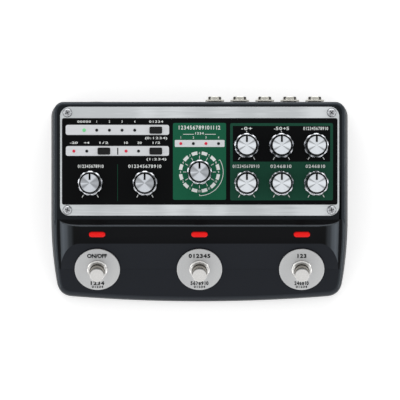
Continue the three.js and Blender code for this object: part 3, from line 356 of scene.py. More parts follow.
def shade_by(mat, value, first, between, last):
    """Multiplies a tone by shares along a value; between holds pairs of a position and a share."""
    tree = mat.node_tree
    shader = tree.nodes["Principled BSDF"]
    tone = shader.inputs["Base Color"].links[0].from_socket
    ramp = new_node(tree, "ShaderNodeValToRGB", {"Fac": value})
    ramp.color_ramp.interpolation = "EASE"
    stops = ramp.color_ramp.elements
    stops[0].color = grey(first)
    stops[1].color = grey(last)
    for position, share in between:
        stops.new(position).color = grey(share)
    shade = tree.nodes.new("ShaderNodeMix")
    shade.data_type = "RGBA"
    shade.blend_type = "MULTIPLY"
    fill(shade, {"Factor": 1, "A": tone, "B": ramp.outputs["Color"]})
    fill(shader, {"Base Color": shade.outputs["Result"]})


def add_rays(mat, shares):
    """Darker rays painted into a spun face as a painted reflection: pairs of an angle clockwise from the top,
    in degrees, and a share.
    """
    tree = mat.node_tree
    around = new_node(tree, "ShaderNodeTexGradient", {"Vector": object_place(tree)})
    around.gradient_type = "RADIAL"
    between = [((270 - angle) / 360 % 1, share) for angle, share in shares]
    shade_by(mat, around.outputs["Fac"], 1, between, 1)


def shade_sideways(mat, shares):
    """Paints a band into a material's tone by its distance from the middle plane, as a painted highlight:
    pairs of millimetres and a share.
    """
    tree = mat.node_tree
    apart = new_node(tree, "ShaderNodeSeparateXYZ", {"Vector": object_place(tree)})
    side = maths(tree, "ABSOLUTE", apart.outputs["X"])
    low, high = shares[0][0], shares[-1][0]
    span = new_node(tree, "ShaderNodeMapRange", {"Value": side, "From Min": low * MM, "From Max": high * MM})
    between = [((x - low) / (high - low), share) for x, share in shares[1:-1]]
    shade_by(mat, span.outputs["Result"], shares[0][1], between, shares[-1][1])


# The painted highlight on the scoop's ends, lightest some 87 mm out from the middle
shade_sideways(END_HIGHLIGHT_ENAMEL, [(80, 0.02), (83, 0.22), (85.6, 0.6), (87.2, 0.76), (88.2, 0.6), (89.4, 0.16)])
# The knobs' spun tops: darker rays painted in, a painted reflection of the lights
add_rays(SPUN, [(0, 0.84), (30, 0.88), (90, 1), (180, 0.94), (270, 1), (330, 0.88)]
         + [(angle + offset, share) for angle in (60, 122, 240, 298)
            for offset, share in ((-13, 0.93), (0, 0.38), (13, 0.93))])
# Broad grey sectors on the darker tops, a painted reflection of the lights
add_rays(SPUN_SHADED, [(angle + offset, share) for angle in (60, 240)
                     for offset, share in ((-22, 0.95), (0, 0.46), (31, 0.62), (62, 0.46), (84, 0.95))])

# The CAD nodes that nothing stands in for
NODE_MATERIALS = [
    (COVER_STEEL, ["bottom_cover"]), (BOARD_GREEN, ["panel_board", "main_board"]),
    (LIGHT_GUIDE, ["memory_light_bar", "input_light_bar", "head_light_bar"]),
    (BLACK_PLASTIC, ["midi_out_jack", "midi_in_jack", "dc_inlet"]), (NICKEL, ["usb_port"]),
    (SWITCH_CHROME, ["footswitch_housing_1", "footswitch_housing_2", "footswitch_housing_3"]),
]
for mat, node_names in NODE_MATERIALS:
    for node_name in node_names:
        materials = frame["nodes"][node_name].data.materials
        materials.clear()
        materials.append(mat)


# Mesh making

def new_mesh(name, points, faces):
    mesh = bpy.data.meshes.new(name)
    mesh.from_pydata([(x * MM, y * MM, z * MM) for x, y, z in points], [], faces)
    work = bmesh.new()
    work.from_mesh(mesh)
    bmesh.ops.recalc_face_normals(work, faces=work.faces)
    work.to_mesh(mesh)
    work.free()
    return mesh


def shade_smoothly(mesh, angle):
    mesh.shade_smooth()
    mesh.set_sharp_from_angle(angle=radians(angle))


def in_scene(name, data):
    thing = bpy.data.objects.new(name, data)
    bpy.context.scene.collection.objects.link(thing)
    return thing


def add(name, mesh, mat, body, at=None, smooth=32, bevel=0, segments=2):
    """Puts a mesh in the scene as a piece that rides on a body."""
    if not mesh.materials:
        mesh.materials.append(mat)
        shade_smoothly(mesh, smooth)
    piece = in_scene(name, mesh)
    if at is not None:
        piece.matrix_world = at
    if bevel:
        edge = piece.modifiers.new("edge", "BEVEL")
        edge.width = bevel * MM
        edge.segments = segments
        edge.limit_method = "ANGLE"
        edge.angle_limit = radians(40)
    weight = piece.modifiers.new("weight", "WEIGHTED_NORMAL")
    weight.keep_sharp = True
    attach(piece, body)
    return piece


def polar(radius, angle, x=0, y=0):
    return (x + radius * cos(angle), y + radius * sin(angle))


def circle(radius, sides, x=0, y=0, start=0):
    return [polar(radius, start + 2 * pi * i / sides, x, y) for i in range(sides)]


def rounded(box, radius, steps=6):
    """Outline of a rectangle with round corners, counterclockwise."""
    left, front, right, rear = box
    middles = [(right - radius, rear - radius), (left + radius, rear - radius),
               (left + radius, front + radius), (right - radius, front + radius)]
    return [polar(radius, pi / 2 * (quarter + step / steps), x, y)
            for quarter, (x, y) in enumerate(middles) for step in range(steps + 1)]


def grown(size, margin, x=0, y=0):
    """A box round a place, with a margin on each side of a size."""
    width, depth = size[0] + 2 * margin, size[1] + 2 * margin
    return (x - width / 2, y - depth / 2, x + width / 2, y + depth / 2)


def prism(loops, low, high):
    """Points and faces of an upright block: the first loop is its outline, the others are holes."""
    flat = [point for loop in loops for point in loop]
    tops = geometry.tessellate_polygon([[Vector((x, y, 0)) for x, y in loop] for loop in loops])
    count = len(flat)
    points = [(x, y, low) for x, y in flat] + [(x, y, high) for x, y in flat]
    faces = [tuple(face) for face in tops] + [tuple(i + count for i in reversed(face)) for face in tops]
    start = 0
    for loop in loops:
        size = len(loop)
        for i in range(size):
            a, b = start + i, start + (i + 1) % size
            faces.append((a, b, b + count, a + count))
        start += size
    return points, faces


def box_block(box, low, high):
    left, front, right, rear = box
    return prism([[(left, front), (right, front), (right, rear), (left, rear)]], low, high)


def rear_rod(radius, length, start_y, x, z):
    points, faces = prism([circle(radius, 40)], 0, length)
    return [(x + px, start_y + pz, z + py) for px, py, pz in points], faces


def lathe(profile, sides, grow=None):
    """A profile of (radius, height) turned round the z axis; grow(radius, angle) may change it."""
    angles = [2 * pi * i / sides for i in range(sides)]
    points, rings, faces = [], [], []
    for radius, height in profile:
        if radius == 0:
            rings.append([len(points)] * sides)
            points.append((0, 0, height))
        else:
            rings.append(range(len(points), len(points) + sides))
            points += [(*polar(grow(radius, angle) if grow else radius, angle), height) for angle in angles]
    for low, high in zip(rings, rings[1:]):
        for i in range(sides):
            j = (i + 1) % sides
            corners = list(dict.fromkeys([low[i], low[j], high[j], high[i]]))
            if len(corners) > 2:
                faces.append(tuple(corners))
    return points, faces


def closed(profile):
    return profile + [profile[0]]


def lofted(rings):
    """Rings of equal length, closed at both ends."""
    size = len(rings[0])
    points = [point for ring in rings for point in ring]
    faces = [(level * size + i, level * size + (i + 1) % size,
              (level + 1) * size + (i + 1) % size, (level + 1) * size + i)
             for level in range(len(rings) - 1) for i in range(size)]
    faces.append(tuple(reversed(range(size))))
    faces.append(tuple((len(rings) - 1) * size + i for i in range(size)))
    return points, faces


def merged(parts):
    points, faces = [], []
    for part_points, part_faces in parts:
        start = len(points)
        points += part_points
        faces += [tuple(start + i for i in face) for face in part_faces]
    return points, faces


def turned_to(matrix, part):
    """The matrix moves by metres."""
    turn = matrix.copy()
    turn.translation = matrix.translation / MM
    points, faces = part
    return [tuple(turn @ Vector(point)) for point in points], faces


def cut(piece, points, faces):
    tool = in_scene("tool", new_mesh("tool", points, faces))
    step = piece.modifiers.new("cut", "BOOLEAN")
    step.operation = "DIFFERENCE"
    step.object = tool
    step.solver = "EXACT"
    graph = bpy.context.evaluated_depsgraph_get()
    mesh = bpy.data.meshes.new_from_object(piece.evaluated_get(graph))
    piece.modifiers.clear()
    old, piece.data = piece.data, mesh
    bpy.data.meshes.remove(old)
    bpy.data.objects.remove(tool)


def carved(name, part, *tools):
    """A part's mesh once each tool has been cut from it."""
    piece = in_scene(name, new_mesh(name, *part))
    for tool in tools:
        cut(piece, *tool)
    mesh = piece.data
    bpy.data.objects.remove(piece)
    mesh.materials.clear()
    return mesh


# Case shell

def side_x(y):
    return CASE_WIDTH / 2 - max(0, TOP_FRONT_Y - y) ** 2 / (2 * SIDE_BOW)


def front_corner_y():
    y = FRONT_Y
    for _ in range(6):
        y = FRONT_Y + side_x(y) ** 2 / (2 * BOW_RADIUS)
    return y


def bend(start, corner, end, share):
    """A point on the curve between two places that a corner pulls on."""
    return start * (1 - share) ** 2 + corner * 2 * share * (1 - share) + end * share ** 2


def case_outline(breaks, front_steps=12, corner_steps=10, side_steps=10):
    """The right half from the front's middle, then mirrored: place, way inward, draft and edge radius."""
    corner_y = front_corner_y()
    corner_x = side_x(corner_y)
    bow_end = corner_x - FRONT_CORNER
    right = []
    for step in range(front_steps + 1):
        x = bow_end * step / front_steps
        inward = Vector((-x / BOW_RADIUS, 1)).normalized()
        right.append((Vector((x, FRONT_Y + x * x / (2 * BOW_RADIUS))), inward, FRONT_DRAFT, LIP_EDGE))
    start, first_inward = right[-1][0], right[-1][1]
    corner = Vector((corner_x, corner_y))
    end = Vector((side_x(corner_y + FRONT_CORNER), corner_y + FRONT_CORNER))
    for step in range(1, corner_steps + 1):
        share = step / corner_steps
        point = bend(start, corner, end, share)
        inward = first_inward.lerp(Vector((-1, 0)), share).normalized()
        right.append((point, inward, mix(FRONT_DRAFT, SIDE_DRAFT, share), mix(LIP_EDGE, SIDE_EDGE, share)))
    steps = [mix(end.y, TOP_FRONT_Y, step / side_steps) for step in range(1, side_steps)]
    clear = [y for y in steps if all(abs(fold - y) > 1 for fold in breaks)]
    for y in sorted({*breaks, *clear, TOP_FRONT_Y}):
        right.append((Vector((side_x(y), y)), Vector((-1, 0)), SIDE_DRAFT, SIDE_EDGE))
    centre = Vector((CASE_WIDTH / 2 - REAR_CORNER, REAR_Y - REAR_CORNER))
    for step in range(corner_steps + 1):
        angle = pi / 2 * step / corner_steps
        out = Vector((cos(angle), sin(angle)))
        turned = out.y ** 2
        right.append((centre + out * REAR_CORNER, -out, mix(SIDE_DRAFT, REAR_DRAFT, turned),
                      mix(SIDE_EDGE, REAR_EDGE, turned)))
    left = [(Vector((-p.x, p.y)), Vector((-i.x, i.y)), draft, edge) for p, i, draft, edge in right[:0:-1]]
    return right + left


def case_body(breaks, level_at, foot_z, inset, edge_share, round_steps=6):
    """A drafted block with rounded top edges; breaks are the places where its roof folds."""
    outline = case_outline(breaks)

    def moved_in(point, inward, distance):
        return (point.x + inward.x * distance, point.y + inward.y * distance)

    rings = [[(*moved_in(p, i, inset + tan(draft) * (foot_z - FOOT_LEVEL)), foot_z)
              for p, i, draft, edge in outline]]
    for step in range(round_steps + 1):
        angle = pi / 2 * step / round_steps
        ring = []
        for p, i, draft, edge in outline:
            reach = edge * edge_share
            lean = tan(draft) * (level_at(p.y) - reach - FOOT_LEVEL)
            x, y = moved_in(p, i, inset + lean + reach * (1 - cos(angle)))
            ring.append((x, y, level_at(y) - reach * (1 - sin(angle))))
        rings.append(ring)
    points, faces = lofted(rings)
    roof = faces.pop()
    top = rings[-1]
    edges = [-inf, *sorted(breaks), inf]
    for low, high in zip(edges, edges[1:]):
        band = [roof[i] for i, point in enumerate(top) if low - SKIM < point[1] < high + SKIM]
        faces.append(tuple(band))
    return points, faces


def scoop_cutter(end_steps=14, fillet_steps=8, beyond=0.3, climb=4):
    """Flat between two elliptical ends, and run down the lamp slope to the deck."""
    stations = []
    for step in range(end_steps + 1):
        angle = pi / 2 * step / end_steps
        reach = (SCOOP_WIDTH - SCOOP_FLAT) / 2 * sin(angle)
        stations.append((SCOOP_FLAT / 2 + reach, SCOOP_DEPTH * (1 - cos(angle))))
    stations.append((SCOOP_WIDTH / 2 + SKIM, SCOOP_DEPTH + beyond))
    mirrored = [(-x, rise) for x, rise in reversed(stations)]
    wall_tan = tan(WALL_SLOPE)
    end_y = CREASE_Y - (SCOOP_DEPTH + 2 * beyond) / FOLD_TAN
    rings = []
    for x, rise in mirrored + stations:
        depth = SCOOP_DEPTH - rise
        corner_y = TOP_FRONT_Y - depth / (1 - LAMP_TAN / wall_tan) / wall_tan
        corner = Vector((corner_y, lamp_level(corner_y) + rise))
        reach = SCOOP_FILLET * max(depth / SCOOP_DEPTH, 0)
        start = corner - reach * Vector((cos(LAMP_SLOPE), sin(LAMP_SLOPE)))
        end = corner + reach * Vector((cos(WALL_SLOPE), sin(WALL_SLOPE)))
        fillet = [bend(start, corner, end, step / fillet_steps) for step in range(fillet_steps + 1)]
        floor_y = CREASE_Y - rise / FOLD_TAN
        profile = [(end_y, deck_level(end_y) + SKIM), (floor_y, deck_level(floor_y) + SKIM)]
        profile += [(point.x, point.y) for point in fillet]
        profile += [(TOP_FRONT_Y + climb / wall_tan, TOP_LEVEL + climb), (end_y, TOP_LEVEL + climb)]
        rings.append([(x, y, z) for y, z in profile])
    return lofted(rings)


def rear_wall_y(z):
    return REAR_Y - tan(REAR_DRAFT) * (z - FOOT_LEVEL)


def case_holes():
    """Tools for the panel's window, the footswitches, the lamps and the sockets."""
    holes = [prism([rounded(WINDOW, WINDOW_CORNER)], TOP_LEVEL - ROOF - OVERRUN, TOP_LEVEL + OVERRUN)]
    collar_hole = prism([circle(COLLAR_HOLE, 40)], -ROOF - OVERRUN, OVERRUN)
    lens_hole = prism([rounded(grown(LENS_SIZE, LENS_GAP), LENS_SIZE[1] / 2 + LENS_GAP, 10)], -ROOF - OVERRUN,
                      OVERRUN)
    holes += [turned_to(deck_frame(x), collar_hole) for x in (-SWITCH_X, 0, SWITCH_X)]
    holes += [turned_to(lamp_frame(x), lens_hole) for x in (-LAMP_X, 0, LAMP_X)]
    reach = CASE_WALL + 2 * OVERRUN
    bores = [(x, SOCKET_Z, SOCKET_HOLE) for x in SOCKET_XS] + [(x, MINI_Z, MINI_HOLE) for x in MINI_XS]
    for x, z, radius in [*bores, (*INLET_PLACE, INLET_HOLE)]:
        holes.append(rear_rod(radius, reach, rear_wall_y(z) - CASE_WALL - OVERRUN, x, z))
    port_x, port_z = PORT_PLACE
    width, height = PORT_SIZE
    port_box = grown((width, reach), 0, port_x, rear_wall_y(port_z) - CASE_WALL / 2)
    holes.append(box_block(port_box, port_z - height / 2, port_z + height / 2))
    return merged(holes)


def slope_normal(slope):
    return Vector((0, -sin(slope), cos(slope)))


def coat_case(mesh, cheek_end):
    coats = [ENAMEL, DECK_REFLECTION_ENAMEL, SLOPE_ENAMEL, SHADE_ENAMEL,
             EDGE_SHEEN_ENAMEL, WALL_REFLECTION_ENAMEL, END_HIGHLIGHT_ENAMEL, LIP_SHEEN_ENAMEL]
    for coat in coats:
        mesh.materials.append(coat)
    # Most coats besides the top are copies of the one enamel with painted sheen, painted reflection, a
    # painted highlight or painted shade
    top, deck, lamp, shade, edge, wall, end, lip = range(len(coats))
    flats = [(index, slope_normal(slope)) for index, slope in
             ((top, 0), (deck, DECK_SLOPE), (lamp, LAMP_SLOPE), (shade, WALL_SLOPE))]
    deck_normal = slope_normal(DECK_SLOPE)
    for face in mesh.polygons:
        face.material_index = wall if abs(face.normal.z) < WALL_TILT else edge
        for index, normal in flats:
            if face.normal.dot(normal) > FLAT_MATCH:
                face.material_index = index
        x, y, z = face.center / MM
        at_end = SCOOP_FLAT / 2 < abs(x) < SCOOP_WIDTH / 2 and SCOOP_END_Y[0] < y < SCOOP_END_Y[1]
        faces_end = SCOOP_END_NORMAL[0] < face.normal.y < SCOOP_END_NORMAL[1]
        if at_end and faces_end and z < outer_level(y) and face.material_index in (edge, lamp):
            face.material_index = end
        if face.material_index == edge and abs(y - cheek_end) < CHEEK_STRIP and abs(x) < SCOOP_WIDTH / 2:
            face.material_index = deck
        turned = face.normal.dot(deck_normal) > LIP_TURN
        if face.material_index in (edge, lamp, shade) and y < LIP_REAR and turned:
            face.material_index = lip


def case_shell():
    cheek_end = CREASE_Y - SCOOP_DEPTH / FOLD_TAN
    lamp_roof = ROOF / cos(LAMP_SLOPE)
    deck_roof = ROOF / cos(DECK_SLOPE)
    inner_crease = CREASE_Y + (lamp_roof - deck_roof) / FOLD_TAN
    ceiling_front = TOP_FRONT_Y + (SCOOP_DEPTH + lamp_roof - ROOF) / LAMP_TAN
    outside = case_body([cheek_end, TOP_FRONT_Y], outer_level, FOOT_LEVEL, 0, 1)
    folds = [inner_crease, ceiling_front]
    inside = case_body(folds, inner_level, FOOT_LEVEL - OVERRUN, CASE_WALL, INNER_EDGE)
    mesh = carved("case_shell", outside, scoop_cutter(), inside, case_holes())
    shade_smoothly(mesh, CASE_SMOOTH)
    coat_case(mesh, cheek_end)
    return add("case_shell", mesh, ENAMEL, "case")


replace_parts(case_shell(), "chassis")


# Knobs

def node_centre(name):
    low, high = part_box(name)
    return (low + high) / 2


NECK_RADIUS = 6.74
SKIRT_RADIUS = 8
SCALLOP = 0.4
LOBES = 9
LOBE_STEEPNESS = 5
LOBE_SHIFT = 0.35  # widens the lobes


def flute(radius, angle):
    """Shallow scallops between raised lobes, fading towards the neck."""
    share = (radius - NECK_RADIUS) / (SKIRT_RADIUS - NECK_RADIUS)
    wave = cos(LOBES * (angle - pi / 2))
    lobe = 1 / (1 + exp(-LOBE_STEEPNESS * (wave + LOBE_SHIFT)))
    return radius - SCALLOP * max(share, 0) * (1 - lobe)


SKIRT_PROFILE = [
    (5.4, 0), (7.75, 0), (7.96, 0.15), (8, 0.4), (7.93, 0.6), (7.7, 0.79), (7.4, 1), (7.1, 1.22),
    (6.9, 1.45), (6.8, 1.8), (6.78, 2.6), (6.76, 5), (6.75, 8), (6.74, 9.9), (6.72, 10.25), (6.66, 10.4),
    (5.4, 10.4),
]
RING_PROFILE = [
    (5.5, 10.2), (6.6, 10.2), (6.66, 10.5), (6.64, 11), (6.5, 11.3), (6.25, 11.4), (6, 11.38),
    (5.84, 11.25), (5.8, 10.9), (5.5, 10.9),
]
POINTER = box_block((-0.6, 2, 0.6, 6), 10.9, 11.2)
DISC_PROFILE = [(0, 10.6), (5.82, 10.6), (5.82, 11), (5.76, 11.08), (0, 11.08)]
LINER_PROFILE = [(3.3, 0.1), (5.6, 0.1), (5.6, 10.6), (3.3, 10.6)]
KNOB_BODIES = ["saturation_dial", "flutter_dial", "selector_dial", "bass_dial", "treble_dial",
               "reverb_dial", "rate_dial", "intensity_dial", "echo_dial"]
KNOB_JOINTS = frame["joints"][:len(KNOB_BODIES)]
KNOB_PLACES = [(joint["pos_m"][0] / MM, joint["pos_m"][1] / MM) for joint in KNOB_JOINTS]
SHADED_DISCS = 3  # the first knobs' tops take the darker copy, painted shade with broad sectors of painted reflection

skirt_mesh = new_mesh("dial_skirt", *lathe(closed(SKIRT_PROFILE), 144, flute))
ring_mesh = new_mesh("dial_ring", *merged([lathe(closed(RING_PROFILE), 72), POINTER]))
disc_mesh = new_mesh("dial_disc", *lathe(DISC_PROFILE, 96))
shaded_disc_mesh = disc_mesh.copy()
liner_mesh = new_mesh("dial_liner", *lathe(closed(LINER_PROFILE), 48))
for index, (body, joint) in enumerate(zip(KNOB_BODIES, KNOB_JOINTS), 1):
    x, y = joint["pos_m"][:2]
    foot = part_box(f"knob_{index}")[0].z
    spot = Matrix.Translation((x, y, foot))
    skirt = add(f"dial_skirt_{index}", skirt_mesh, CHROME, body, spot, 40)
    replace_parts(skirt, f"knob_{index}")
    add(f"dial_ring_{index}", ring_mesh, BLACK_PLASTIC, body, spot, 40)
    disc, face = (shaded_disc_mesh, SPUN_SHADED) if index <= SHADED_DISCS else (disc_mesh, SPUN)
    add(f"dial_disc_{index}", disc, face, body, spot, 40)
    add(f"dial_liner_{index}", liner_mesh, BLACK_PLASTIC, body, spot, 40)


# Print on the panel

BUTTON_CENTRES = [node_centre(f"panel_button_{i}") / MM for i in (1, 2, 3)]


def within(box, x, y):
    return box[0] < x < box[2] and box[1] < y < box[3]


def openings(box):
    """Those for the knobs' bushings and the keys that lie within a box."""
    holes = [circle(BUSH_HOLE, 32, x, y) for x, y in KNOB_PLACES if within(box, x, y)]
    return holes + [rounded(grown(BUTTON_SIZE, KEY_PLAY, spot.x, spot.y), KEY_OPENING_CORNER)
                    for spot in BUTTON_CENTRES if within(box, spot.x, spot.y)]


def printed(name, box, layer, mat, corner):
    loops = [rounded(box, corner), *openings(box)]
    mesh = new_mesh(name, *prism(loops, PANEL_TOP + PRINT_LIFT, PANEL_TOP + layer * PRINT_STEP))
    return add(name, mesh, mat, "case")


panel = prism([rounded(PANEL_BOX, PANEL_CORNER, 12), *openings(PANEL_BOX)], PANEL_FOOT, PANEL_TOP)
plate = new_mesh("panel_plate", *panel)
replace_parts(add("panel_plate", plate, ALUMINIUM, "case", bevel=0.2), "top_panel")
printed("print_black", PANEL_PRINT, 1, BLACK_PRINT, PRINT_CORNER)
printed("print_mode_field", MODE_FIELD, 2, GREEN_PRINT, 1)
printed("print_tone_field", TONE_FIELD, 2, TONE_GREEN, 1)
printed("print_tone_inset", TONE_INSET, 3, BLACK_PRINT, 0.3)
printed("strip_memory", MEMORY_STRIP, 3, STRIP_SILVER, PRINT_CORNER)
printed("strip_input", INPUT_STRIP, 3, STRIP_SILVER, PRINT_CORNER)
printed("strip_head", HEAD_STRIP, 3, STRIP_SILVER, 0.5)


def bar(x, y, width, height, angle=0):
    """A flat bar, turned clockwise from upright by an angle in radians."""
    turn = Matrix.Rotation(-angle, 2)
    half = Vector((width / 2, height / 2))
    corners = [turn @ (half * Vector(way)) for way in SQUARE]
    return [(x + corner.x, y + corner.y) for corner in corners]


def on_circle(place, angle, radius):
    """The angle runs clockwise from the top, in degrees."""
    turn = radians(angle)
    return (place[0] + radius * sin(turn), place[1] + radius * cos(turn))


def ray(place, angle, inner, outer, width):
    return bar(*on_circle(place, angle, (inner + outer) / 2), width, outer - inner, radians(angle))


def sector(place, start, end, inner, outer, steps=8):
    angles = [mix(start, end, i / steps) for i in range(steps + 1)]
    rim = [on_circle(place, angle, outer) for angle in angles]
    hub = [on_circle(place, angle, inner) for angle in reversed(angles)]
    return rim + hub


def text_shapes(text, x, y, height, width=None, boldness=0.03):
    """Flat lettering centred on a place, drawn in to a width where one is given."""
    curve = bpy.data.curves.new("text", "FONT")
    curve.body = text
    curve.size = height / DIGIT_SHARE
    curve.space_word = 0.35
    curve.offset = height * boldness
    curve.extrude = PRINT_STEP / 2
    curve.align_x = "CENTER"
    curve.align_y = "CENTER"
    curve.resolution_u = 3
    holder = in_scene("text", curve)
    graph = bpy.context.evaluated_depsgraph_get()
    mesh = bpy.data.meshes.new_from_object(holder.evaluated_get(graph))
    xs = [v.co.x for v in mesh.vertices]
    ys = [v.co.y for v in mesh.vertices]
    middle_x = (min(xs) + max(xs)) / 2
    middle_y = (min(ys) + max(ys)) / 2
    squeeze = width / (max(xs) - min(xs)) if width else 0.85
    points = [(x + (v.co.x - middle_x) * squeeze, y + v.co.y - middle_y, v.co.z) for v in mesh.vertices]
    faces = [tuple(face.vertices) for face in mesh.polygons]
    bpy.data.objects.remove(holder)
    bpy.data.meshes.remove(mesh)
    return points, faces


def raised(part, z):
    points, faces = part
    return [(px, py, pz + z) for px, py, pz in points], faces


def marks(name, shapes, texts, mat, layer, at=None):
    """Flat marks and lettering on one level, as one piece."""
    low, high = (layer - 1) * PRINT_STEP, layer * PRINT_STEP
    parts = [prism([shape], low, high) for shape in shapes]
    parts += [raised(text_shapes(*text), (low + high) / 2) for text in texts]
    return add(name, new_mesh(name, *merged(parts)), mat, "case", at, smooth=20)


# Ticks hold an inner and an outer radius and a width
TICK = (8.6, 10.4, 0.42)
MIDDLE_TICK = (8.3, 9.3, 0.42)
DIAL_TICK = (8.4, 10.4, 0.36)
ARC_TICK = (14.2, 15.25, 0.36)
HOURS = 12
HOUR_ANGLE = 30
HOUR_FIELD = (6.5, 23.5)  # angles between two ticks of the dial
HOUR_RADII = (11.05, 13.15)
NUMBER_RADIUS = 12.1
ARC_ANGLES = (59, 180)
ARC_RADII = (14.9, 15.25)
MEMORY_DOTS = (-73.4, -65.35, -57.3, -49.25, -41.2)
INPUT_DOTS = (-79.9, -71.7, -46.7, -38.8)
HEAD_DOTS = (-11.9, -3.9, 4.1, 12.1)
SMALL_TYPE = 1.35
KEY_TYPE = 1.4
SCALE_TYPE = 2
TEN = "0 1 2 3 4 5 6 7 8 9 10"
SIX = "0 2 4 6 8 10"
SCALES = [  # text, place and width of the scale above each knob
    (TEN, -69.2, 21.15, 16.4), (TEN, -34.8, 21.15, 21), ("- 0 +", 30, 45.2, 7),
    ("-5 0 +5", 52.1, 45.2, 9.6), (TEN, 73.9, 45.2, 15.8), (TEN, 29.6, 21.15, 17),
    (SIX, 51.8, 21.15, 13.4), (SIX, 73.7, 21.15, 12.4),
]
KEY_LABELS = [  # text, place and width of the numbers by the keys and their dots
    ("0 0 0 0 0", -73.4, 49.55, 8.6), ("0 1 2 3 4", -27.6, 49.55, 9),
    ("(0 : 1 2 3 4)", -27.6, 38.9, 14.2), ("-20", -79.9, 36.1, 5), ("+4", -71.8, 36.1, 3.6),
    ("1 / 2", -60.8, 36.1, 5.6), ("10", -46.7, 36.1, 2.4), ("20", -38.1, 36.1, 2.8),
    ("1 / 2", -27.4, 36.1, 4.8), ("(1 : 2 3 4)", -27.4, 25.45, 12.6),
]

panel_at = moved(0, 0, PANEL_TOP)
white = [ray(place, 180 + side * HOUR_ANGLE, *TICK) for place in (*KNOB_PLACES[:2], *KNOB_PLACES[3:])
         for side in (-1, 1)]
white += [ray(place, 0, *MIDDLE_TICK) for place in KNOB_PLACES[3:5]]
white += [ray(DIAL_PLACE, hour * HOUR_ANGLE, *DIAL_TICK) for hour in range(HOURS)]
white += [sector(DIAL_PLACE, *[hour * HOUR_ANGLE + angle for angle in HOUR_FIELD], *HOUR_RADII)
          for hour in range(HOURS)]
white += [sector(DIAL_PLACE, *ARC_ANGLES, *ARC_RADII, 24)]
white += [ray(DIAL_PLACE, angle, *ARC_TICK) for angle in ARC_ANGLES]
white += [bar(side * 6.9, 41.5, 7, 0.32) for side in (-1, 1)]
texts = [(str(n), *on_circle(DIAL_PLACE, (n - 6) * HOUR_ANGLE, NUMBER_RADIUS), SMALL_TYPE)
         for n in range(1, HOURS + 1)]
texts += [(str(n + 1), x, 39.5, KEY_TYPE) for n, x in enumerate(HEAD_DOTS)]
texts += [(str(n), x, 49.55, KEY_TYPE) for n, x in enumerate(MEMORY_DOTS) if n]
texts += [("1 2 3 4 5 6 7 8 9 10 11 12", 0, 45.75, 2.4, 26.4), ("1 2 3 4", 0, 42.1, KEY_TYPE, 5.4)]
texts += [(text, x, y, SCALE_TYPE, width) for text, x, y, width in SCALES]
texts += [(text, x, y, SMALL_TYPE, width) for text, x, y, width in KEY_LABELS]
marks("print_white", white, texts, WHITE_PRINT, 4, panel_at)
marks("print_divider", [bar(-52, 30.7, 0.7, 4.4)], [], DARK_PRINT_AND_SHADE, 4, panel_at)
marks("print_green_line", [bar(-52.1, 10.7, 0.4, 23.4)], [], LINE_GREEN, 2, panel_at)


# Indicator dots

DOT_PROFILE = [(0, 0), (0.95, 0), (0.95, 0.12), (0.86, 0.24), (0.6, 0.33), (0.3, 0.37), (0, 0.38)]
LIT_DOT_SCALE = 1.2  # the lit dot of the memory strip looks larger
DOT_ROWS = [  # y, the places of all the dots, the places of the lit ones, and their material
    (44.1, MEMORY_DOTS, (-73.4,), DOT_GREEN),
    (30.8, INPUT_DOTS, (-79.9, -46.7), DOT_RED),
    (35.6, HEAD_DOTS, (-11.9, 4.1), DOT_RED),
]
dots = [(x, y, lit if x in lit_xs else DOT_DARK) for y, xs, lit_xs, lit in DOT_ROWS for x in xs]
dot_meshes = {mat.name: new_mesh("dot", *lathe(DOT_PROFILE, 24)) for mat in (DOT_GREEN, DOT_RED, DOT_DARK)}
for index, (x, y, mat) in enumerate(dots, 1):
    at = moved(x, y, PANEL_TOP + 2 * PRINT_STEP)
    if mat == DOT_GREEN:
        at = at @ Matrix.Diagonal((LIT_DOT_SCALE, LIT_DOT_SCALE, 1, 1))
    add(f"dot_{index}", dot_meshes[mat.name], mat, "case", at)


# Panel keys, each a cap with a flange under the panel

button_mesh = new_mesh("button", *merged([
    prism([rounded(grown(BUTTON_SIZE, 0), 0.5)], -0.3, 2.6),
    box_block(grown(BUTTON_SIZE, 0.8), -0.9, 0),
]))
for index, body in enumerate(("memory_key", "input_key", "tape_key"), 1):
    centre = node_centre(f"panel_button_{index}")
    at = Matrix.Translation((centre.x, centre.y, KEY_FOOT * MM))
    # A dark line of painted shade on the panel round each key, where the gap is
    gap = prism([rounded(grown(BUTTON_SIZE, 2 * KEY_PLAY), 0.9),
                 rounded(grown(BUTTON_SIZE, KEY_PLAY), KEY_OPENING_CORNER)], *KEY_SHADE_LINE)
    add(f"key_gap_shade_{index}", new_mesh("key_gap_shade", *gap), DARK_PRINT_AND_SHADE, "case", at)
    piece = add(f"key_{index}", button_mesh, BUTTON_RUBBER, body, at, bevel=0.28, segments=3)
    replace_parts(piece, f"panel_button_{index}")


# Screws

DOME_SHARES = [(0, 0), (0.97, 0), (1, 0.12), (0.97, 0.4), (0.85, 0.72), (0.6, 0.93), (0.3, 1), (0, 1)]
SCREW_PITCH = 0.7
PANEL_SCREW = {"head": 2.75, "height": 1.5, "shank": 1.4, "length": 6, "recess": 0.8}
COVER_SCREW = {"head": 2.4, "height": 1, "shank": 1.1, "length": 4, "recess": 0.6}
SCREW_TURN = 25  # each panel screw is turned this much further
COVER_SCREW_PLACES = [(-86.5, 49), (86.5, 49), (-83.5, -53), (83.5, -53)]


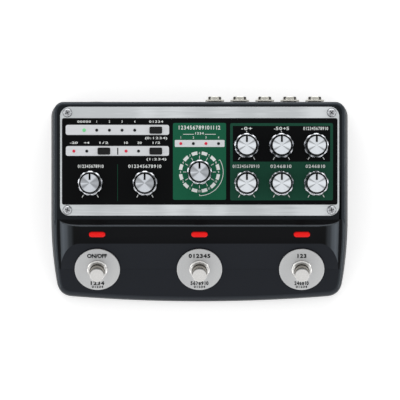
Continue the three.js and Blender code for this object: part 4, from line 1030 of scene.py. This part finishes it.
def cross_screw(head, height, shank, length, recess):
    """A domed cross-head screw with its foot on z = 0."""
    dome = [(head * out, height * up) for out, up in DOME_SHARES]
    wide, narrow = head * 1.15, head * 0.25
    slots = [box_block(grown(size, 0), height - recess, height + 1)
             for size in ((wide, narrow), (narrow, wide))]
    mesh = carved("screw", lathe(dome, 48), *slots)
    stem = [(0, -length), (shank * 0.7, -length)]
    for i in range(int(length / SCREW_PITCH)):
        z = -length + 0.5 + i * SCREW_PITCH
        stem += [(shank * 0.8, z), (shank, z + 0.3)]
    stem += [(shank * 0.8, 0.1), (0, 0.1)]
    work = bmesh.new()
    work.from_mesh(mesh)
    work.from_mesh(new_mesh("stem", *lathe(stem, 20)))
    work.to_mesh(mesh)
    work.free()
    return mesh


panel_screw_mesh = cross_screw(**PANEL_SCREW)
for index in range(1, 5):
    low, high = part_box(f"panel_screw_{index}")
    centre = (low + high) / 2
    foot = Matrix.Translation((centre.x, centre.y, high.z - PANEL_SCREW["height"] * MM))
    at = foot @ Matrix.Rotation(radians(SCREW_TURN * index), 4, "Z")
    piece = add(f"cross_screw_{index}", panel_screw_mesh, SCREW_STEEL, "case", at)
    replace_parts(piece, f"panel_screw_{index}")
    shadows = [prism([circle(3, 40), circle(2.78, 40)], 0.02, 0.08)]
    shadows += [box_block(grown(size, 0), 0.72, 0.78) for size in ((3, 0.62), (0.62, 3))]
    shadow_mesh = new_mesh("screw_shadow", *merged(shadows))
    add(f"screw_shadow_{index}", shadow_mesh, GREY_SHADE, "case", at)


# Footswitches

PLATE_PROFILE = [(6.3, 0.3), (14.3, 0.3), (14.55, 0.5), (14.55, 0.95), (14.4, 1.14), (14.15, 1.2), (6.3, 1.2)]
MARKS_LEVEL = 1.19
NUT_PROFILE = [
    (5, 1.25), (6.6, 1.25), (6.7, 1.4), (6.66, 1.75), (6.5, 2.05), (6.2, 2.3), (5.8, 2.48), (5.45, 2.55),
    (5.35, 2.6), (5.25, 2.9), (5.15, 3), (5, 2.9),
]
PLUNGER_PROFILE = [
    (3.2, -5.8), (5.5, -5.8), (5.5, -4.8), (4.7, -4.8), (4.7, 5), (4.5, 5.1), (4.5, 5.6), (4.66, 5.7),
    (4.66, 6.6), (4.4, 6.7), (4.4, 7.1), (4.56, 7.2), (4.56, 8.2), (4.3, 8.3), (4.3, 8.6), (4.4, 8.7),
    (4.48, 8.9), (4.48, 9.9), (4.42, 10.2), (4.25, 10.3), (0, 10.3), (0, 6.4), (3.2, 6.4),
]
COLLAR_RADIUS = 5.4  # the part of the nut within this is the collar, which takes the darker, warmer shaft steel as painted shade
CAP_FOOT = 8.7
GROOVE_RADIUS = 4.52  # faces of the shaft within this lie in a groove, where the dark steel paints shade
SHAFT_FOOT = 5
PLATE_WORDS = [  # upper and lower text of each plate, with their widths
    ("ON/OFF", 12.8, "1 2 3 4", 8.8), ("0 1 2 3 4 5", 14, "5 6 7 8 9 10", 11.6),
    ("1 2 3", 5.8, "2 4 6 8 10", 9.2),
]
SPRING_LOW = -8.65  # the wire's middle at the spring's lower end
SPRING_HIGH = 5.75
SPRING_RADIUS = 2.3  # to the wire's middle
WIRE_RADIUS = 0.35
SPRING_TURNS = 4


def two_tone(mesh, mat, other, picks):
    """The faces that picks says take the other material."""
    shade_smoothly(mesh, 40)
    mesh.materials.append(mat)
    mesh.materials.append(other)
    for face in mesh.polygons:
        face.material_index = int(picks(face))


def plate_texts(upper, upper_width, lower, lower_width):
    return [(upper, 0, 9.75, 2.6, upper_width, 0.07), (lower, 0, -9.6, 2.4, lower_width, 0.07),
            ("0 1 2 3 4", 0, -12.2, 1.5, 7.4, 0.06)]


def coil(turn_steps=24, sides=8):
    """A return spring: one wire that climbs in a helix."""
    rings = []
    for step in range(SPRING_TURNS * turn_steps + 1):
        turn = tau * step / turn_steps
        z = mix(SPRING_LOW, SPRING_HIGH, step / (SPRING_TURNS * turn_steps))
        around = [tau * side / sides for side in range(sides)]
        reaches = [SPRING_RADIUS + WIRE_RADIUS * cos(angle) for angle in around]
        rings.append([(reach * cos(turn), reach * sin(turn), z + WIRE_RADIUS * sin(angle))
                      for reach, angle in zip(reaches, around)])
    return lofted(rings)


notches = merged([box_block(grown((0.8, 1.4), 0, side * 6.9), 1.7, 5) for side in (-1, 1)])
nut_mesh = carved("nut", lathe(closed(NUT_PROFILE), 64), notches)
two_tone(nut_mesh, SWITCH_CHROME, SHADED_SHAFT_STEEL, lambda face: face.center.xy.length < COLLAR_RADIUS * MM)
spring_mesh = new_mesh("spring", *coil())
plate_mesh = new_mesh("switch_plate", *lathe(closed(PLATE_PROFILE), 96))
plunger_mesh = new_mesh("plunger", *lathe(closed(PLUNGER_PROFILE), 64))
two_tone(plunger_mesh, SWITCH_CHROME, SHADED_SHAFT_STEEL, lambda face: face.center.z < CAP_FOOT * MM)
plunger_mesh.materials.append(SHADE_STEEL)
# Faces in the grooves and below the shaft's foot take the dark steel as painted shade
for face in plunger_mesh.polygons:
    in_groove = face.material_index == 1 and face.center.xy.length < GROOVE_RADIUS * MM
    if in_groove or face.center.z < SHAFT_FOOT * MM:
        face.material_index = 2
for index, body in enumerate(("left_pedal", "middle_pedal", "right_pedal"), 1):
    at = deck_frame((index - 2) * SWITCH_X)
    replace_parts(add(f"switch_plate_{index}", plate_mesh, PLATE_SILVER, "case", at, 40),
                f"footswitch_plate_{index}")
    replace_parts(add(f"switch_nut_{index}", nut_mesh, SWITCH_CHROME, "case", at, 40),
                f"footswitch_nut_{index}")
    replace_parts(add(f"plunger_{index}", plunger_mesh, SWITCH_CHROME, body, at, 40),
                f"footswitch_plunger_{index}")
    spring = add(f"spring_{index}", spring_mesh, SPRING_STEEL, "case", at, 40)
    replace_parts(spring, f"footswitch_spring_{index}")
    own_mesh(spring)
    marks(f"plate_marks_{index}", [], plate_texts(*PLATE_WORDS[index - 1]), DARK_PRINT_AND_SHADE, 1,
          at @ moved(0, 0, MARKS_LEVEL))


# Lamp lenses: capsules with a domed face

LENS_LEVELS = [(0, -3.1), (0, 0.2), (0.08, 0.38), (0.25, 0.52), (0.6, 0.6), (1.1, 0.64)]  # inset and level


def lens_ring(inset, z):
    outline = rounded(grown(LENS_SIZE, -inset), (LENS_SIZE[1] - 2 * inset) / 2 - 0.001, 12)
    return [(x, y, z) for x, y in outline]


lens_flange = box_block(grown(LENS_SIZE, 1), -4.1, -3.1)
lens_face = lofted([lens_ring(*level) for level in LENS_LEVELS])
lens_mesh = new_mesh("lamp_lens", *merged([lens_face, lens_flange]))
for index in (1, 2, 3):
    at = lamp_frame((index - 2) * LAMP_X)
    piece = add(f"lamp_lens_{index}", lens_mesh, LAMP_RED, "case", at, 40)
    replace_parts(piece, f"footswitch_lamp_lens_{index}")


# Rear sockets

SOCKET_BORE = 3.2
SOCKET_BODY = (0.0836 * CASE_WIDTH - 2.65, 25, 13)  # width, depth and height
SLEEVE_RADIUS = 4.5
SLEEVE_SHADE = (2.5, 3.9)  # the bushing's faces that far from its middle plane take the dark steel, painted shade on its flanks
HEX_CORNER = 6 / cos(pi / 6)
HEX_LEVELS = [(HEX_CORNER, 0), (HEX_CORNER, 0.75), (HEX_CORNER - 0.4, 1)]  # corner radius and level


def threaded_sleeve(length, outer, bore, pitch=0.5, depth=0.14):
    """Its foot is on y = 0."""
    root = outer - depth
    profile = [(bore, 0), (root, 0)]
    for i in range(int((length - 0.8) / pitch)):
        profile += [(root, i * pitch + 0.05), (outer, i * pitch + pitch / 2), (root, i * pitch + pitch)]
    profile += [(outer - 0.15, length - 0.45), (outer - 0.5, length)]
    profile += [(bore + 0.45, length), (bore, length - 0.5)]
    points, faces = lathe(closed(profile), 48)
    return [(x, z, y) for x, y, z in points], faces


def hex_ring(reach, y):
    return [(x, y, z) for x, z in circle(reach, 6, start=pi / 2)]


hex_mesh = carved("hex", lofted([hex_ring(*level) for level in HEX_LEVELS]), rear_rod(4.7, 4, -1, 0, 0))
body_width, body_depth, body_height = SOCKET_BODY
body_block = box_block((-body_width / 2, -body_depth, body_width / 2, 0), -body_height / 2, body_height / 2)
body_mesh = carved("body", body_block, rear_rod(SOCKET_BORE, 24, -22, 0, 0))
socket_face = rear_wall_y(SOCKET_Z) - CASE_WALL - 0.3
sleeve_mesh = new_mesh("sleeve", *threaded_sleeve(CASE_DEPTH / 2 - socket_face, SLEEVE_RADIUS, SOCKET_BORE))
# Painted shade on the bushing's flanks
two_tone(sleeve_mesh, NICKEL, SHADE_STEEL,
         lambda face: SLEEVE_SHADE[0] < abs(face.center.x) / MM < SLEEVE_SHADE[1])
for index, x in enumerate(SOCKET_XS, 1):
    nut_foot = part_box(f"jack_nut_{index}")[0].y
    at = Matrix.Translation((x * MM, nut_foot, SOCKET_Z * MM))
    piece = add(f"hex_nut_{index}", hex_mesh, NICKEL, "case", at, 30, bevel=0.12)
    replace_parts(piece, f"jack_nut_{index}")
    at = moved(x, socket_face, SOCKET_Z)
    piece = add(f"socket_body_{index}", body_mesh, BLACK_PLASTIC, "case", at, 30)
    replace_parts(piece, f"phone_jack_{index}")
    add(f"socket_sleeve_{index}", sleeve_mesh, NICKEL, "case", at, 30)


# Feet and cover screws

FOOT_PROFILE = [
    (0, 0.25), (3.2, 0.25), (3.5, 0), (5.9, 0), (6.5, 0.12), (6.85, 0.45), (7, 0.9), (7, 1.7),
    (2, 1.7), (2, 4), (0, 4),
]
foot_mesh = new_mesh("foot", *lathe(FOOT_PROFILE, 64))
for index in range(1, 5):
    centre = node_centre(f"rubber_foot_{index}")
    at = Matrix.Translation((centre.x, centre.y, 0))
    piece = add(f"foot_{index}", foot_mesh, FOOT_RUBBER, "case", at, 40)
    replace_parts(piece, f"rubber_foot_{index}")

cover_screw_mesh = cross_screw(**COVER_SCREW)
for index, (x, y) in enumerate(COVER_SCREW_PLACES, 1):
    at = moved(x, y, FOOT_LEVEL) @ Matrix.Rotation(pi, 4, "X")
    add(f"cover_screw_{index}", cover_screw_mesh, SCREW_STEEL, "case", at)


# Floor, camera and light

FLOOR_HALF = 1500
FLOOR_TONE = 0.86
FLOOR_ROUGH = 0.9
FLOOR_SPECULAR = 0.1
FLOOR_GLOW = 0.42  # only where the floor is seen directly
AMBIENT = 0.66  # the world's strength where it isn't seen directly
LIGHT_AIM = (0, 0, 0.03)
# Softboxes: name, place and size in metres, and watts
SOFTBOXES = [
    ("light_rear", (0, 1.25, 0.42), (2.4, 0.45), 12),
    ("strip_front", (0, -1.2, 0.14), (1.4, 0.16), 2),
    ("strip_left", (-1.2, 0.1, 0.34), (0.8, 0.2), 2.4),
    ("strip_right", (1.2, 0.1, 0.34), (0.5, 0.2), 1.4),
    ("light_front_left", (-0.95, -0.85, 0.22), (0.8, 0.36), 1.8),
    ("light_front_right", (0.95, -0.85, 0.22), (0.8, 0.36), 1.8),
]


def seen_directly(tree):
    """1 for what the camera, a mirror or clear plastic sees."""
    path = tree.nodes.new("ShaderNodeLightPath")
    seen = path.outputs["Is Camera Ray"]
    for kind in ("Is Glossy Ray", "Is Transmission Ray"):
        seen = maths(tree, "MAXIMUM", seen, path.outputs[kind])
    return seen


def stage_floor():
    corners = [(x * FLOOR_HALF, y * FLOOR_HALF, 0) for x, y in SQUARE]
    mesh = new_mesh("floor", corners, [(0, 1, 2, 3)])
    floor = in_scene("floor", mesh)
    mat = bpy.data.materials.new("floor")
    mat.use_nodes = True
    tree = mat.node_tree
    shader = fill(tree.nodes["Principled BSDF"], {
        "Base Color": grey(FLOOR_TONE), "Roughness": FLOOR_ROUGH, "Specular IOR Level": FLOOR_SPECULAR})
    plain = shader.outputs["BSDF"]
    glow = new_node(tree, "ShaderNodeEmission", {"Strength": FLOOR_GLOW})
    both = new_node(tree, "ShaderNodeAddShader", {0: plain, 1: glow.outputs["Emission"]})
    values = {"Fac": seen_directly(tree), 1: plain, 2: both.outputs["Shader"]}
    pick = new_node(tree, "ShaderNodeMixShader", values)
    fill(tree.nodes["Material Output"], {"Surface": pick.outputs["Shader"]})
    mesh.materials.append(mat)


def studio_world():
    world = bpy.data.worlds.new("studio")
    bpy.context.scene.world = world
    world.use_nodes = True
    tree = world.node_tree
    values = {"Value": seen_directly(tree), "To Min": AMBIENT, "To Max": 1}
    strength = new_node(tree, "ShaderNodeMapRange", values)
    fill(tree.nodes["Background"], {"Color": WHITE, "Strength": strength.outputs["Result"]})


def softbox(name, place, size, power):
    light = bpy.data.lights.new(name, "AREA")
    light.shape = "RECTANGLE"
    light.size, light.size_y = size
    light.energy = power
    lamp = in_scene(name, light)
    lamp.location = place
    lamp.rotation_euler = (Vector(LIGHT_AIM) - Vector(place)).to_track_quat("-Z", "Y").to_euler()


stage_floor()
studio_world()
for values in SOFTBOXES:
    softbox(*values)

camera_data = bpy.data.cameras.new("camera")
camera_data.lens = CAMERA_LENS
camera_data.sensor_width = CAMERA_SENSOR
camera = in_scene("camera", camera_data)
camera.location = [value * MM for value in CAMERA_PLACE]
bpy.context.scene.camera = camera
bpy.context.scene.view_settings.view_transform = "Standard"
